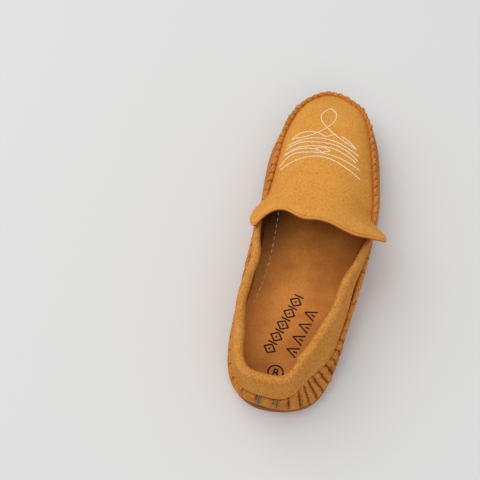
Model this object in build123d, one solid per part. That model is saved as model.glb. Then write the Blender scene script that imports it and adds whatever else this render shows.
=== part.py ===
"""A soft suede slip-on moccasin for the right foot, built as the shoe is sewn.

The frame: +Y runs from the heel to the toe, +X to the outer side of the foot, +Z up.
The origin is on the ground, at the middle of the shoe's bounding box. Units are millimetres.

From the ground up the shoe is a gum rubber sole, a suede wrap that cups the foot from below,
a fibre board, a foam cushion and a leather sock. A suede vamp covers the toes and runs back into
a flared tongue. A suede quarter with a padded roll goes round the heel, with a stiff counter and
a leather lining inside it. Waxed thread whips the vamp and the quarter to the wrap.
"""

from build123d import *
import math
import os

os.makedirs("parts", exist_ok=True)

# ---- Driving dimensions -------------------------------------------------------------------
SOLE_THICKNESS = 4.5
SOLE_INSET = 1.2            # how far the sole's edge stands inside the widest line of the wrap
TREAD_DEPTH = 1.0
TREAD_WIDTH = 2.2
TREAD_PITCH = 8.0
SUEDE = 1.6                 # thickness of the wrap, vamp and quarter
BOARD_THICKNESS = 1.2
CUSHION_THICKNESS = 3.5
SOCK_THICKNESS = 1.2
COUNTER_THICKNESS = 1.1
LINING_THICKNESS = 1.0
LAYER_GAP = 0.1             # glue line between two layers
ROLL_RADIUS = 3.4           # the padded roll along the top line
ROLL_SKIN = 1.28            # thickness of the suede round the roll's foam
ROLL_SEAT = 0.9             # how far the roll's middle sits inside the band, in radii
THREAD_RADIUS = 0.65        # waxed seam thread
EMBROIDERY_RADIUS = 0.35
EMBROIDERY_PITCH = 3.2
SOCK_THREAD_RADIUS = 0.35
STITCH_STANDS = 1.5         # seam stitches stand this far off the wrap's wall

WRAP_FLOOR_Z = SOLE_THICKNESS
BOARD_Z = WRAP_FLOOR_Z + SUEDE
CUSHION_Z = BOARD_Z + BOARD_THICKNESS
SOCK_Z = CUSHION_Z + CUSHION_THICKNESS
SOCK_TOP_Z = SOCK_Z + SOCK_THICKNESS

# The widest line of the wrap seen from above, clockwise from the tip of the toe.
OUTLINE = [
    (-5, 130.5), (13, 127), (27, 117), (36, 100), (43, 75), (47.5, 52), (49, 32),
    (47.5, 8), (45, -15), (42.5, -40), (39.8, -68), (36.6, -94), (28.3, -117), (11, -128.5),
    (-8, -130), (-25, -126), (-36, -113), (-41, -94), (-41.5, -70), (-39.8, -40),
    (-39, -10), (-40, 20), (-41.5, 50), (-40.5, 75), (-36.5, 95), (-30, 111), (-19, 124),
]

# The wrap's wall: height and how far it stands inside the widest line.
WRAP_LEVELS = [(4.5, 3.0), (8.5, 0.7), (13.0, 0.0), (19.0, 1.6), (26.0, 3.9), (36.0, 6.6)]
WRAP_MOUTH = (37.0, 6.9)    # the hollow's last level, above the wrap's edge
# The band above the seam: height, inset and shift towards the inner side of the foot.
BAND_LEVELS = [(12.0, 1.9, 0.0), (19.0, 2.6, 0.0), (28.0, 4.2, -0.6), (38.0, 6.6, -1.8), (56.0, 11.5, -3.4)]

# Along the shoe: how upright the wrap's wall stands at the waist, 0 to 1.
WAIST = [(-140, 0.0), (-100, 0.0), (-72, 0.85), (0, 0.85), (18, 0.2), (26, 0.0), (140, 0.0)]
WAIST_START_Z, WAIST_FULL_Z = 11.0, 17.0
# Along the shoe: how far the band's top opens outward, on the outer and the inner side of the foot.
OUTER_LEAN = [
    (-128, 4.0), (-120, 3.6), (-113, 1.7), (-100, -3.4), (-82, -2.0), (-72, 0.5), (-60, 3.2), (-38, 3.9),
    (-30, 5.4), (-21, 7.6), (-12, 9.1), (-4, 9.6), (6, 7.5), (16, 3.0), (22, 0.0),
]
INNER_LEAN = [
    (-128, 4.0), (-110, 2.5), (-96, 1.6), (-74, 3.0), (-58, 4.0), (-42, 3.2), (-26, 3.2), (-17, 5.3),
    (-8, 5.2), (6, 3.4), (16, 1.0), (22, 0.0),
]
LEAN_START_Z, LEAN_FULL_Z = 13.0, 44.0
# Along the shoe: how far the gathers at the outer back corner draw the seam and the band inward.
CORNER_DRAW = [(-129, 0.0), (-125, 3.2), (-118, 6.8), (-113, 6.0), (-104, 2.2), (-94, 0.4), (-86, 0.0)]
DRAW_START_Z, DRAW_FULL_Z = 12.5, 18.5
LEAN_POWER = 1.3
LEAN_LIMIT = 1.27

# Height of the whipped seam along the shoe.
SEAM_PROFILE = [(-140, 18.5), (-105, 19.0), (-65, 22.5), (-20, 29.5), (20, 34.0), (60, 33.0), (100, 29.0), (140, 25.0)]
# Height of the roll's centre along the shoe.
TOP_PROFILE = [
    (-140, 48.0), (-105, 47.0), (-60, 43.5), (-20, 43.0), (-6, 42.0), (4, 40.0), (14, 37.8), (26, 36.0), (34, 32.5),
]

# Stations of the vamp: y, left edge x and z, crest x and z, right edge x and z.
VAMP_STATIONS = [
    (-16, -49, 44.0, -7, 72.5, 59, 46.5),
    (-4, -47, 44.0, -6, 69.5, 57, 46.0),
    (10, -43, 40.0, -3, 65.5, 52, 41.0),
    (28, -39, 34.0, 1, 60.0, 46, 34.5),
    (50, -37, 32.5, 3, 54.0, 44, 33.0),
    (75, -35, 30.5, 3, 47.0, 40, 31.0),
    (97, -33, 28.0, 1, 40.5, 36, 28.5),
    (115, -30, 25.0, -2, 34.0, 32, 25.0),
    (134, -28, 19.0, -4, 22.0, 28, 19.0),
]
ROOF_ROUNDNESS = 1.9        # power of the vamp's arch: larger is flatter on top
ROOF_SAMPLES = 12
VAMP_INSET = 5.0            # how far the vamp's sewn edge stands inside the widest line
TIP_Y = 125.0               # beyond this line the vamp's edge belongs to the tip of the toe
TAIL_JOIN_Y = 22            # where the vamp's edge leaves the seam and flares into the tongue
TONGUE_EDGE = [
    (-42.5, 4), (-43.8, -4), (-40, -9.5), (-33, -5.5), (-24, -3), (-12, -6), (2, -7.5),
    (16, -9), (30, -9.5), (44, -7), (54, -6.5), (57, -4.5),
]
QUARTER_FRONT_Y = 26        # the front ends of the quarter lie under the tongue
LINING_FRONT_Y = 21
COUNTER_FRONT_Y = -52
COUNTER_BELOW_ROLL = 2.5
BOARD_INSET = 6.0
CUSHION_INSET = 4.4
SOCK_INSET = 3.6

VAMP_STITCH_PITCH = 6.6
HEEL_STITCH_PITCH = 12.0
SEAM_STITCH_LENGTH = 4.2
SOCK_STITCH_PITCH = 5.2
SOCK_STITCH_LENGTH = 3.4
OUTER_SOCK_STITCHES = [(-60, 7.0), (0, 6.5), (40, 9.0), (110, 13.5)]
INNER_SOCK_STITCHES = [(-60, 9.0), (-48, 11.4), (-30, 13.2), (110, 13.5)]
SOCK_STITCH_BACK_Y = -56
BACK_TACK_Y = -119.0
BACK_TACK_X = (-16.0, 2.0)  # the two bar tacks at the back of the heel
BACK_EDGE_Y = -60.0         # only points of the outline behind this line are at the back
STITCH_RISE = 3.0           # height over which a stitch follows the wall's slope
STITCH_SLANT = 0.9          # how far a whip stitch runs along the seam over that height
TACK_STRAND_GAP = 1.5
TACK_LENGTH = 8.5

# Embroidery on the vamp, seen from above.
TOE_LOOP = [
    (-1, 84.5), (-6, 90), (-7.5, 95), (-6, 101), (-2, 104.5), (2.5, 102.5), (4, 96.5), (2.5, 90), (-0.5, 85),
]
WINGS = [
    [(-1.5, 83.5), (-6.5, 78.8), (-14.5, 73), (-25.5, 70.5)],
    [(-25.5, 70), (-20.5, 75), (-15.5, 77), (-6.5, 77.5)],
    [(-6.5, 77.5), (-1, 75), (4.5, 78)],
    [(-0.5, 83.5), (2.5, 80.5), (10.5, 75), (17.5, 71), (23, 69)],
    [(11, 77.5), (17, 74), (23.5, 68.5)],
]
BANDS = [
    [(-27.5, 64), (-19, 68), (-9.5, 71.5), (-1.5, 72.5), (6.5, 71.5), (15, 68), (26, 63)],
    [(-28, 60.5), (-21.5, 64.5), (-8.5, 67.5), (2, 68.5), (10, 67), (18.5, 63), (26, 58)],
    [(-27.5, 55.5), (-20.5, 60), (-13, 62.5), (-1, 64.5), (8, 63.5), (16, 60), (25, 55.5)],
    [(-29, 56), (-23, 58), (-15.5, 60), (-6.5, 60.5)],
    [(-30.5, 45.5), (-24.5, 53), (-12, 56.5), (-1, 57.8), (14.5, 54.5), (28.5, 50)],
    [(-29.5, 42), (-21, 47), (-14, 50.5), (-3, 54), (9.5, 51.5), (18, 47.5), (30, 42)],
]
DIAMOND = [[(-6.5, 61.2), (-1, 63.4)], [(-1, 63.4), (5, 61.2)], [(5, 61.2), (-1, 59)], [(-1, 59), (-6.5, 61.2)]]
FAR = 400.0
SHOE_HALF_WIDTH = 80.0
ABOVE_ALL_Z = 90.0
BEHIND_ALL_Y = -150.0
CENTRE_X = 6.4              # the middle of the bounding box across, which the tongue's ears set
CENTRE_Y = -0.91            # and along, which the toe and the back tacks set
OUTLINE_SAMPLES = 2000


def smooth_profile(points):
    """A curve through (y, z) points, drawn in the plane x = 0."""
    return Spline(*[(0, y, z) for y, z in points])


def slab_below(profile, floor=-20.0):
    """Everything under a height profile, right across the shoe."""
    top = smooth_profile(profile)
    (y0, _), (y1, _) = profile[0], profile[-1]
    sides = Polyline(top @ 1, (0, y1, floor), (0, y0, floor), top @ 0)
    face = Face(Wire([top, *sides.edges()]))
    return extrude(face, FAR / 4, dir=(1, 0, 0), both=True)


OUTLINE_CURVE = Spline(*[(x, y, 0) for x, y in OUTLINE], periodic=True)


def outline_point(share, inset, shift=0.0):
    """A point on the outline moved in by inset, then across the shoe by shift."""
    here = OUTLINE_CURVE @ (share % 1.0)
    along = OUTLINE_CURVE % (share % 1.0)
    return here + Vector(along.Y, -along.X, 0) * inset + Vector(shift, 0, 0)


def height_at(profile, y):
    """Straight-line height between the points of a profile."""
    for (y0, z0), (y1, z1) in zip(profile, profile[1:]):
        if y <= y1:
            return z0 + (z1 - z0) * (y - y0) / (y1 - y0)
    return profile[-1][1]


def drawn_in(point, z):
    """How far the outer back corner is drawn inward at a height."""
    if point.X <= 0 or point.Y < CORNER_DRAW[0][0]:
        return 0.0
    rise = min(max((z - DRAW_START_Z) / (DRAW_FULL_Z - DRAW_START_Z), 0), 1)
    return height_at(CORNER_DRAW, point.Y) * rise


def upright(inset, point, z):
    """The wrap's inset at a height, less where the wall stands upright at the waist."""
    share = min(max((z - WAIST_START_Z) / (WAIST_FULL_Z - WAIST_START_Z), 0), 1)
    return inset * (1 - height_at(WAIST, point.Y) * share) + drawn_in(point, z)


def leaning(inset, point, z):
    """The band's inset at a height, less where it opens outward."""
    lean = height_at(OUTER_LEAN if point.X > 0 else INNER_LEAN, point.Y)
    rise = max((z - LEAN_START_Z) / (LEAN_FULL_Z - LEAN_START_Z), 0) ** LEAN_POWER
    return inset - lean * min(rise, LEAN_LIMIT) + drawn_in(point, z)


def plain(inset, point, z):
    """An inset that is the same all round."""
    return inset


ALL_SHARES = [i / OUTLINE_SAMPLES for i in range(OUTLINE_SAMPLES)]
RING_POINTS = 26


def shares_at(y):
    """Shares of the outline where it crosses a line across the shoe, left and right."""
    right = next(s for s in ALL_SHARES if (OUTLINE_CURVE @ s).Y < y)
    left = next(s for s in reversed(ALL_SHARES) if (OUTLINE_CURVE @ s).Y < y)
    return left, right


def ring(z, inset, adjust=plain, thinner=0.0, shift=0.0):
    """The outline moved in by an adjusted inset, as a closed face at height z."""
    points = []
    for i in range(RING_POINTS):
        share = i / RING_POINTS
        depth = adjust(inset, OUTLINE_CURVE @ share, z) + thinner
        points.append(outline_point(share, depth, shift))
    return Face(Wire([Spline(*[(p.X, p.Y, z) for p in points], periodic=True)]))


def vessel(levels, adjust, thinner=0.0):
    """A solid lofted through rings; thinner moves every ring further in."""
    return loft([ring(z, inset, adjust, thinner, *shift) for z, inset, *shift in levels])


def plate(z, thickness, inset):
    """A flat foot-shaped layer."""
    return extrude(ring(z, inset), thickness, dir=(0, 0, 1))


def block(x0, x1, y0, y1, z0, z1):
    """A box between two corners."""
    return Pos((x0 + x1) / 2, (y0 + y1) / 2, (z0 + z1) / 2) * Box(x1 - x0, y1 - y0, z1 - z0)


def largest(shape):
    """The largest solid of a shape, without the crumbs of a cut."""
    return max(shape.solids(), key=lambda s: s.volume)


# ---- The vamp's arched surface -------------------------------------------------------------
def arch_z(u, z_edge, z_crest):
    """Height across the arch: u is 0 at the crest and 1 at the edge."""
    return z_edge + (z_crest - z_edge) * math.cos(math.pi / 2 * abs(u) ** ROOF_ROUNDNESS)


def arch_section(station, drop):
    """One section of the solid under the vamp's surface, lowered by drop."""
    y, left_x, left_z, crest_x, crest_z, right_x, right_z = station
    points = []
    for i in range(ROOF_SAMPLES + 1):
        u = -1 + 2 * i / ROOF_SAMPLES
        if u < 0:
            points.append((crest_x + (crest_x - left_x) * u, y, arch_z(u, left_z, crest_z) - drop))
        else:
            points.append((crest_x + (right_x - crest_x) * u, y, arch_z(u, right_z, crest_z) - drop))
    top = Spline(*points)
    sides = Polyline(top @ 1, (right_x, y, 0), (left_x, y, 0), top @ 0)
    return Face(Wire([top, *sides.edges()]))


def under_vamp(drop):
    """The solid under the vamp's surface, lowered by drop."""
    return loft([arch_section(s, drop) for s in VAMP_STATIONS])


def vamp_plan():
    """The vamp's shape seen from above: the toe's seam line, then the tongue's flared edge."""
    toe = []
    for i in range(RING_POINTS * 2):
        p = outline_point(i / (RING_POINTS * 2), VAMP_INSET)
        if p.Y > TAIL_JOIN_Y:
            toe.append((p.X, p.Y))
    right = sorted([p for p in toe if p[0] > 0 and p[1] < TIP_Y], key=lambda p: p[1])
    left = sorted([p for p in toe if p[0] <= 0 and p[1] < TIP_Y], key=lambda p: -p[1])
    tip = sorted([p for p in toe if p[1] >= TIP_Y], key=lambda p: -p[0])
    points = TONGUE_EDGE + right + tip + left
    return Face(Wire([Spline(*[(x, y, 0) for x, y in points], periodic=True)]))


# ---- Pieces -------------------------------------------------------------------------------
def make_outsole():
    """The gum rubber sole with shallow cross grooves, kept clear of its edge."""
    sole = plate(0, SOLE_THICKNESS, SOLE_INSET)
    grooves = []
    y = -108.0
    while y < 112.0:
        grooves.append(block(-60, 60, y, y + TREAD_WIDTH, -1, TREAD_DEPTH))
        y += TREAD_PITCH
    inner = plate(-1, TREAD_DEPTH + 2, SOLE_INSET + 7)
    tread = Compound(grooves) & inner
    return sole - tread


def inner_wrap_levels(floor):
    """The wrap's levels for its inner face, from a floor up to above its edge."""
    return [(floor, WRAP_LEVELS[0][1])] + WRAP_LEVELS[1:-1] + [WRAP_MOUTH]


def make_wrap():
    """The suede wrap: a floor under the foot and a wall up to the whipped seam."""
    hollow = vessel(inner_wrap_levels(BOARD_Z), upright, SUEDE)
    return largest((vessel(WRAP_LEVELS, upright) - hollow) & slab_below(SEAM_PROFILE))


def top_line_point(share):
    """A point on the roll's centre line round the heel."""
    flat = OUTLINE_CURVE @ (share % 1.0)
    z = height_at(TOP_PROFILE, flat.Y)
    inset, shift = band_at(z)
    spot = outline_point(share, leaning(inset, flat, z) + ROLL_RADIUS * ROLL_SEAT, shift)
    return Vector(spot.X, spot.Y, z)


def band_at(z):
    """Inset and shift of the band at a height."""
    for (z0, i0, s0), (z1, i1, s1) in zip(BAND_LEVELS, BAND_LEVELS[1:]):
        if z <= z1:
            t = (z - z0) / (z1 - z0)
            return i0 + (i1 - i0) * t, s0 + (s1 - s0) * t
    return BAND_LEVELS[-1][1], BAND_LEVELS[-1][2]


def heel_shares(count):
    """Shares of the outline from the right front of the opening, round the heel, to the left front."""
    end, start = shares_at(QUARTER_FRONT_Y)
    return [start + (end - start) * i / (count - 1) for i in range(count)]


def roll_tube(radius, count=30):
    """A tube along the top line, lofted through circles."""
    centres = [top_line_point(s) for s in heel_shares(count)]
    path = Spline(*[(c.X, c.Y, c.Z) for c in centres])
    sections = []
    for i in range(count):
        t = i / (count - 1)
        plane = Plane(origin=path @ t, z_dir=path % t, x_dir=(0, 0, 1))
        sections.append(Face(Wire([plane * Edge.make_circle(radius)])))
    return loft(sections)


def band(outer_thin, inner_thin):
    """A wall of the band between two depths."""
    low_z, *low = BAND_LEVELS[0]
    high_z, *high = BAND_LEVELS[-1]
    inner = [(low_z - 1.0, *low)] + BAND_LEVELS[1:-1] + [(high_z + 1.0, *high)]
    return vessel(BAND_LEVELS, leaning, outer_thin) - vessel(inner, leaning, inner_thin)


def behind(front_y, low_z=0.0):
    """Everything behind a line across the shoe and above a height."""
    return block(-SHOE_HALF_WIDTH, SHOE_HALF_WIDTH, BEHIND_ALL_Y, front_y, low_z, ABOVE_ALL_Z)


def make_quarter(roll, padding):
    """The suede quarter, from the seam up over the roll."""
    wall = band(0, SUEDE) - slab_below(SEAM_PROFILE)
    wall = wall & slab_below(TOP_PROFILE) & behind(QUARTER_FRONT_Y)
    return largest((wall + roll) - padding)


def make_padding():
    """The foam core of the roll."""
    return largest(roll_tube(ROLL_RADIUS - ROLL_SKIN))


def make_counter():
    """The stiff heel cup between the quarter and the lining."""
    start = SUEDE + LAYER_GAP
    wall = band(start, start + COUNTER_THICKNESS)
    lowered = [(y, z - ROLL_RADIUS - COUNTER_BELOW_ROLL) for y, z in TOP_PROFILE]
    wall = wall & slab_below(lowered) & behind(COUNTER_FRONT_Y, SOCK_TOP_Z + LAYER_GAP)
    return largest(wall - make_wrap_envelope())


def make_wrap_envelope():
    """The wrap's wall without its floor, to keep the inner layers clear of it."""
    hollow = vessel(inner_wrap_levels(WRAP_FLOOR_Z - 1), upright, SUEDE + LAYER_GAP)
    return (vessel(WRAP_LEVELS, upright) - hollow) & slab_below(SEAM_PROFILE)


def make_lining(roll):
    """The thin leather lining of the quarter."""
    start = SUEDE + COUNTER_THICKNESS + 2 * LAYER_GAP
    wall = band(start, start + LINING_THICKNESS)
    wall = wall & slab_below(TOP_PROFILE) & behind(LINING_FRONT_Y, SOCK_TOP_Z + LAYER_GAP)
    return largest(wall - roll - make_wrap_envelope())


def make_vamp(roof, under):
    """The suede vamp with its flared tongue."""
    plan = Pos(0, 0, SOCK_TOP_Z) * extrude(vamp_plan(), ABOVE_ALL_Z, dir=(0, 0, 1))
    return largest(((roof & plan) - under) - slab_below(SEAM_PROFILE))


def capsule(centre, direction, length, radius):
    """A short round-ended length of thread."""
    plane = Plane(origin=centre, z_dir=direction)
    body = Cylinder(radius, length)
    ends = Pos(0, 0, length / 2) * Sphere(radius) + Pos(0, 0, -length / 2) * Sphere(radius)
    return plane * (body + ends)


def shares_between(start, end, pitch):
    """Shares of the outline, evenly spaced at about pitch, from start to end."""
    count = max(2, round((end - start) * OUTLINE_CURVE.length / pitch))
    return [start + (end - start) * (i + 0.5) / count for i in range(count)]


def wall_point(share, z):
    """Where a stitch's middle stands off the wrap's wall at a height."""
    flat = OUTLINE_CURVE @ (share % 1.0)
    inset = upright(height_at(WRAP_LEVELS, z), flat, z) - THREAD_RADIUS - STITCH_STANDS
    return outline_point(share, inset)


def seam_stitch(share, length, side=0.0, slant=STITCH_SLANT):
    """One stitch standing on the wrap's wall across the seam; side moves it along the seam."""
    z = height_at(SEAM_PROFILE, (OUTLINE_CURVE @ (share % 1.0)).Y)
    along = OUTLINE_CURVE % (share % 1.0)
    low, high = wall_point(share, z - STITCH_RISE), wall_point(share, z)
    lean = Vector(high.X - low.X + along.X * slant, high.Y - low.Y + along.Y * slant, STITCH_RISE)
    centre = (high.X + along.X * side, high.Y + along.Y * side, z)
    return capsule(centre, lean, length, THREAD_RADIUS)


def make_vamp_stitches():
    """The whip stitches that hold the vamp to the wrap, round the toe."""
    left, right = shares_at(TAIL_JOIN_Y)
    shares = shares_between(left, right + 1, VAMP_STITCH_PITCH)
    return Compound([seam_stitch(s, SEAM_STITCH_LENGTH) for s in shares])


def make_heel_stitches():
    """The whip stitches that hold the quarter to the wrap, round the heel."""
    left, right = shares_at(TAIL_JOIN_Y)
    shares = shares_between(right, left, HEEL_STITCH_PITCH)
    sides = [s for s in shares if (OUTLINE_CURVE @ s).Y > BACK_TACK_Y]
    return Compound([seam_stitch(s, SEAM_STITCH_LENGTH) for s in sides])


def make_back_tacks():
    """The two double-strand bar tacks at the back of the heel."""
    strands = []
    for x in BACK_TACK_X:
        share = min(ALL_SHARES, key=lambda t: back_distance(t, x))
        for side in (-TACK_STRAND_GAP / 2, TACK_STRAND_GAP / 2):
            strands.append(seam_stitch(share, TACK_LENGTH, side, 0.0))
    return Compound(strands)


def back_distance(share, x):
    """How far a point of the outline is from x on the heel's back edge."""
    point = OUTLINE_CURVE @ share
    return abs(point.X - x) + (FAR if point.Y > BACK_EDGE_Y else 0)


def make_sock_stitches():
    """The white dashed line round the sock, open at the heel."""
    count = round(OUTLINE_CURVE.length / SOCK_STITCH_PITCH)
    dashes = []
    for i in range(count):
        edge = OUTLINE_CURVE @ (i / count)
        insets = OUTER_SOCK_STITCHES if edge.X > 0 else INNER_SOCK_STITCHES
        point = outline_point(i / count, height_at(insets, edge.Y))
        if point.Y < SOCK_STITCH_BACK_Y:
            continue
        along = OUTLINE_CURVE % (i / count)
        centre = (point.X, point.Y, SOCK_TOP_Z + SOCK_THREAD_RADIUS)
        dashes.append(capsule(centre, along, SOCK_STITCH_LENGTH, SOCK_THREAD_RADIUS))
    return Compound(dashes)


def height_on(roof, x, y):
    """Height of the vamp's surface over a point."""
    line = Edge.make_line((x, y, SOCK_TOP_Z), (x, y, ABOVE_ALL_Z))
    return max(v.Z for v in (line & roof).vertices())


def embroidered_line(points, roof):
    """A line of short stitches lying on the vamp's surface, along a path seen from above."""
    path = Spline(*points)
    count = max(2, round(path.length / EMBROIDERY_PITCH))
    knots = []
    for i in range(count + 1):
        spot = path @ (i / count)
        knots.append(Vector(spot.X, spot.Y, height_on(roof, spot.X, spot.Y) + EMBROIDERY_RADIUS * 1.5))
    stitches = []
    for start, end in zip(knots, knots[1:]):
        length = (end - start).length - 2 * EMBROIDERY_RADIUS - LAYER_GAP
        stitches.append(capsule((start + end) * 0.5, end - start, length, EMBROIDERY_RADIUS))
    return stitches


def make_embroidery(lines, roof):
    """Every stitch of the given lines."""
    return Compound([stitch for points in lines for stitch in embroidered_line(points, roof)])


def write(name, shape):
    """Writes one node's solids."""
    solids = [Pos(-CENTRE_X, -CENTRE_Y, 0) * s for s in shape.solids()]
    export_step(Compound(solids) if len(solids) > 1 else solids[0], f"parts/{name}.step")
    print(name, len(solids), round(sum(s.volume for s in solids)), all(s.is_valid for s in solids))


def main():
    """Builds every piece and writes it."""
    roof = under_vamp(0)
    padding = make_padding()
    roll = roll_tube(ROLL_RADIUS)
    write("outsole", make_outsole())
    write("wrap", make_wrap())
    write("insole_board", plate(BOARD_Z, BOARD_THICKNESS, BOARD_INSET))
    write("cushion", plate(CUSHION_Z, CUSHION_THICKNESS, CUSHION_INSET))
    write("sock", plate(SOCK_Z, SOCK_THICKNESS, SOCK_INSET))
    write("vamp", make_vamp(roof, under_vamp(SUEDE)))
    write("quarter", make_quarter(roll, padding))
    write("collar_padding", padding)
    write("heel_counter", make_counter())
    write("quarter_lining", make_lining(roll))
    write("vamp_stitches", make_vamp_stitches())
    write("heel_stitches", make_heel_stitches())
    write("back_tacks", make_back_tacks())
    write("sock_stitches", make_sock_stitches())
    write("embroidery_loop", make_embroidery([TOE_LOOP], roof))
    write("embroidery_wings", make_embroidery(WINGS, roof))
    write("embroidery_bands", make_embroidery(BANDS + DIAMOND, roof))


main()
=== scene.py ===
"""The looks of a soft suede moccasin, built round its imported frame.

The shoe stands on its sole with +Y running from heel to toe, +X to the outer side of the foot and
+Z up. Sizes in the classes are millimetres in the maker's own frame, whose middle line is the
middle of the sole; Last.place() brings them into the frame's metres.
"""

import logging
import math
from dataclasses import dataclass, field
from enum import Enum

import bmesh
import bpy
import numpy as np
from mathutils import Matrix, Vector


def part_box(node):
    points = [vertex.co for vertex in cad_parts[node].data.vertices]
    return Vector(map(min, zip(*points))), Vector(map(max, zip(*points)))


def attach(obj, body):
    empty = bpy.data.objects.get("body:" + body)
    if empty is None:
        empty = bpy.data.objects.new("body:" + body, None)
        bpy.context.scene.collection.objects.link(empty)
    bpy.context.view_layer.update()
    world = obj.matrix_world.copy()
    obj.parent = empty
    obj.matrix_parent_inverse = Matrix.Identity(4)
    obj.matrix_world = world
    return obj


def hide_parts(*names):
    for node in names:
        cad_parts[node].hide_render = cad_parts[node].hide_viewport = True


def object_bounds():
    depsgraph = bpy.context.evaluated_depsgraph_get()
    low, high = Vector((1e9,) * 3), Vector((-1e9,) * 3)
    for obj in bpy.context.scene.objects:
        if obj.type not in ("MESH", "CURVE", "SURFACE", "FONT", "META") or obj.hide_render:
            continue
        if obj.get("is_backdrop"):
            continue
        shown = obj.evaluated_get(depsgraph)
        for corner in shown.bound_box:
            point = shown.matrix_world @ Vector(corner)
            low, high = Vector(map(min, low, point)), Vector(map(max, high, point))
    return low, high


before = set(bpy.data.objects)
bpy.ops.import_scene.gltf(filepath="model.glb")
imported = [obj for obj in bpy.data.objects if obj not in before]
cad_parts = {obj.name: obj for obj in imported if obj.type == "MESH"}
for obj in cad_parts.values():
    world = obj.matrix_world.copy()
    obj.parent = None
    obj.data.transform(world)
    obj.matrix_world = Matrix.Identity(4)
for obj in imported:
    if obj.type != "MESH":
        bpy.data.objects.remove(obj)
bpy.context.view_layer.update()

LOG = logging.getLogger("moccasin")
MM = 0.001
THOUSANDTHS = 1000
TINY = 1e-9
BODY = "root"

Colour = tuple[float, float, float, float]
Points = list[tuple[float, ...]]


def srgb(red: int, green: int, blue: int) -> Colour:
    """A linear colour from the red, green and blue of a paint card, 0 to 255."""
    def linear(value: int) -> float:
        """One channel made linear."""
        share = value / 255
        return share / 12.92 if share <= 0.04045 else ((share + 0.055) / 1.055) ** 2.4
    return (linear(red), linear(green), linear(blue), 1.0)


# ---- Curves and fields ---------------------------------------------------------------------
class SmoothPath:
    """A smooth curve through points, read by its share of the length from 0 to 1."""

    SAMPLES = 4000

    def __init__(self, points: Points, closed: bool = False) -> None:
        """Fits the curve.

        Args:
            points: What the curve passes through, with two or three coordinates each.
            closed: Whether the last point runs back into the first.
        """
        knots = np.array(points, float)
        if closed:
            knots = np.vstack([knots, knots[:1]])
        steps = np.linalg.norm(np.diff(knots, axis=0), axis=1)
        along = np.concatenate([[0.0], np.cumsum(steps)])
        slopes = self._slopes(knots, steps, closed)
        dense = np.linspace(0, along[-1], self.SAMPLES)
        self.points = self._hermite(knots, slopes, along, dense)
        run = np.concatenate([[0.0], np.cumsum(np.linalg.norm(np.diff(self.points, axis=0), axis=1))])
        self.length = run[-1]
        self.shares = run / run[-1]
        self.closed = closed

    @staticmethod
    def _slopes(knots: np.ndarray, steps: np.ndarray, closed: bool) -> np.ndarray:
        """Slopes at the knots that make the curve's bend continuous.

        Args:
            knots: The points, the first again at the end on a closed curve.
            steps: Distances between neighbours.
            closed: Whether the curve is closed.

        Returns:
            One slope vector for each knot.
        """
        count = len(knots)
        rates = np.diff(knots, axis=0) / steps[:, None]
        matrix = np.zeros((count, count))
        right = np.zeros_like(knots)
        for i in range(1, count - 1):
            matrix[i, i - 1:i + 2] = steps[i], 2 * (steps[i - 1] + steps[i]), steps[i - 1]
            right[i] = 3 * (steps[i] * rates[i - 1] + steps[i - 1] * rates[i])
        if closed:
            matrix[0, [-2, 0, 1]] = steps[0], 2 * (steps[-1] + steps[0]), steps[-1]
            right[0] = 3 * (steps[0] * rates[-1] + steps[-1] * rates[0])
            matrix[-1, [0, -1]] = 1.0, -1.0
        else:
            matrix[0, :2] = 2.0, 1.0
            matrix[-1, -2:] = 1.0, 2.0
            right[0], right[-1] = 3 * rates[0], 3 * rates[-1]
        return np.linalg.solve(matrix, right)

    @staticmethod
    def _hermite(knots: np.ndarray, slopes: np.ndarray, along: np.ndarray, dense: np.ndarray) -> np.ndarray:
        """Points of the cubic pieces at the given distances.

        Args:
            knots: The points.
            slopes: The slope at each.
            along: The distance of each along the polygon.
            dense: The distances wanted.

        Returns:
            One point for each distance wanted.
        """
        piece = np.clip(np.searchsorted(along, dense, side="right") - 1, 0, len(knots) - 2)
        span = (along[piece + 1] - along[piece])[:, None]
        t = (dense[:, None] - along[piece][:, None]) / span
        start, end = knots[piece], knots[piece + 1]
        lean0, lean1 = slopes[piece] * span, slopes[piece + 1] * span
        return (
            (2 * t**3 - 3 * t**2 + 1) * start + (t**3 - 2 * t**2 + t) * lean0
            + (3 * t**2 - 2 * t**3) * end + (t**3 - t**2) * lean1
        )

    def at(self, share: np.ndarray) -> np.ndarray:
        """Points at shares of the length, an array of any shape with the coordinates last."""
        wanted = np.asarray(share, float)
        wanted = wanted % 1.0 if self.closed else np.clip(wanted, 0, 1)
        return np.stack([np.interp(wanted, self.shares, axis) for axis in self.points.T], axis=-1)

    def along(self, share: np.ndarray) -> np.ndarray:
        """Unit directions of travel at shares of the length."""
        step = 1.0 / self.SAMPLES
        ahead = self.at(np.asarray(share, float) + step) - self.at(np.asarray(share, float) - step)
        return ahead / np.maximum(np.linalg.norm(ahead, axis=-1, keepdims=True), TINY)


class HeightProfile:
    """A smooth value that depends on one coordinate, held level beyond its ends."""

    def __init__(self, points: Points) -> None:
        """Fits the profile through (coordinate, value) points in rising order."""
        path = SmoothPath(points)
        self.where, self.value = path.points[:, 0], path.points[:, 1]

    def at(self, coordinate: np.ndarray) -> np.ndarray:
        """Values at coordinates."""
        return np.interp(coordinate, self.where, self.value)


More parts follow.
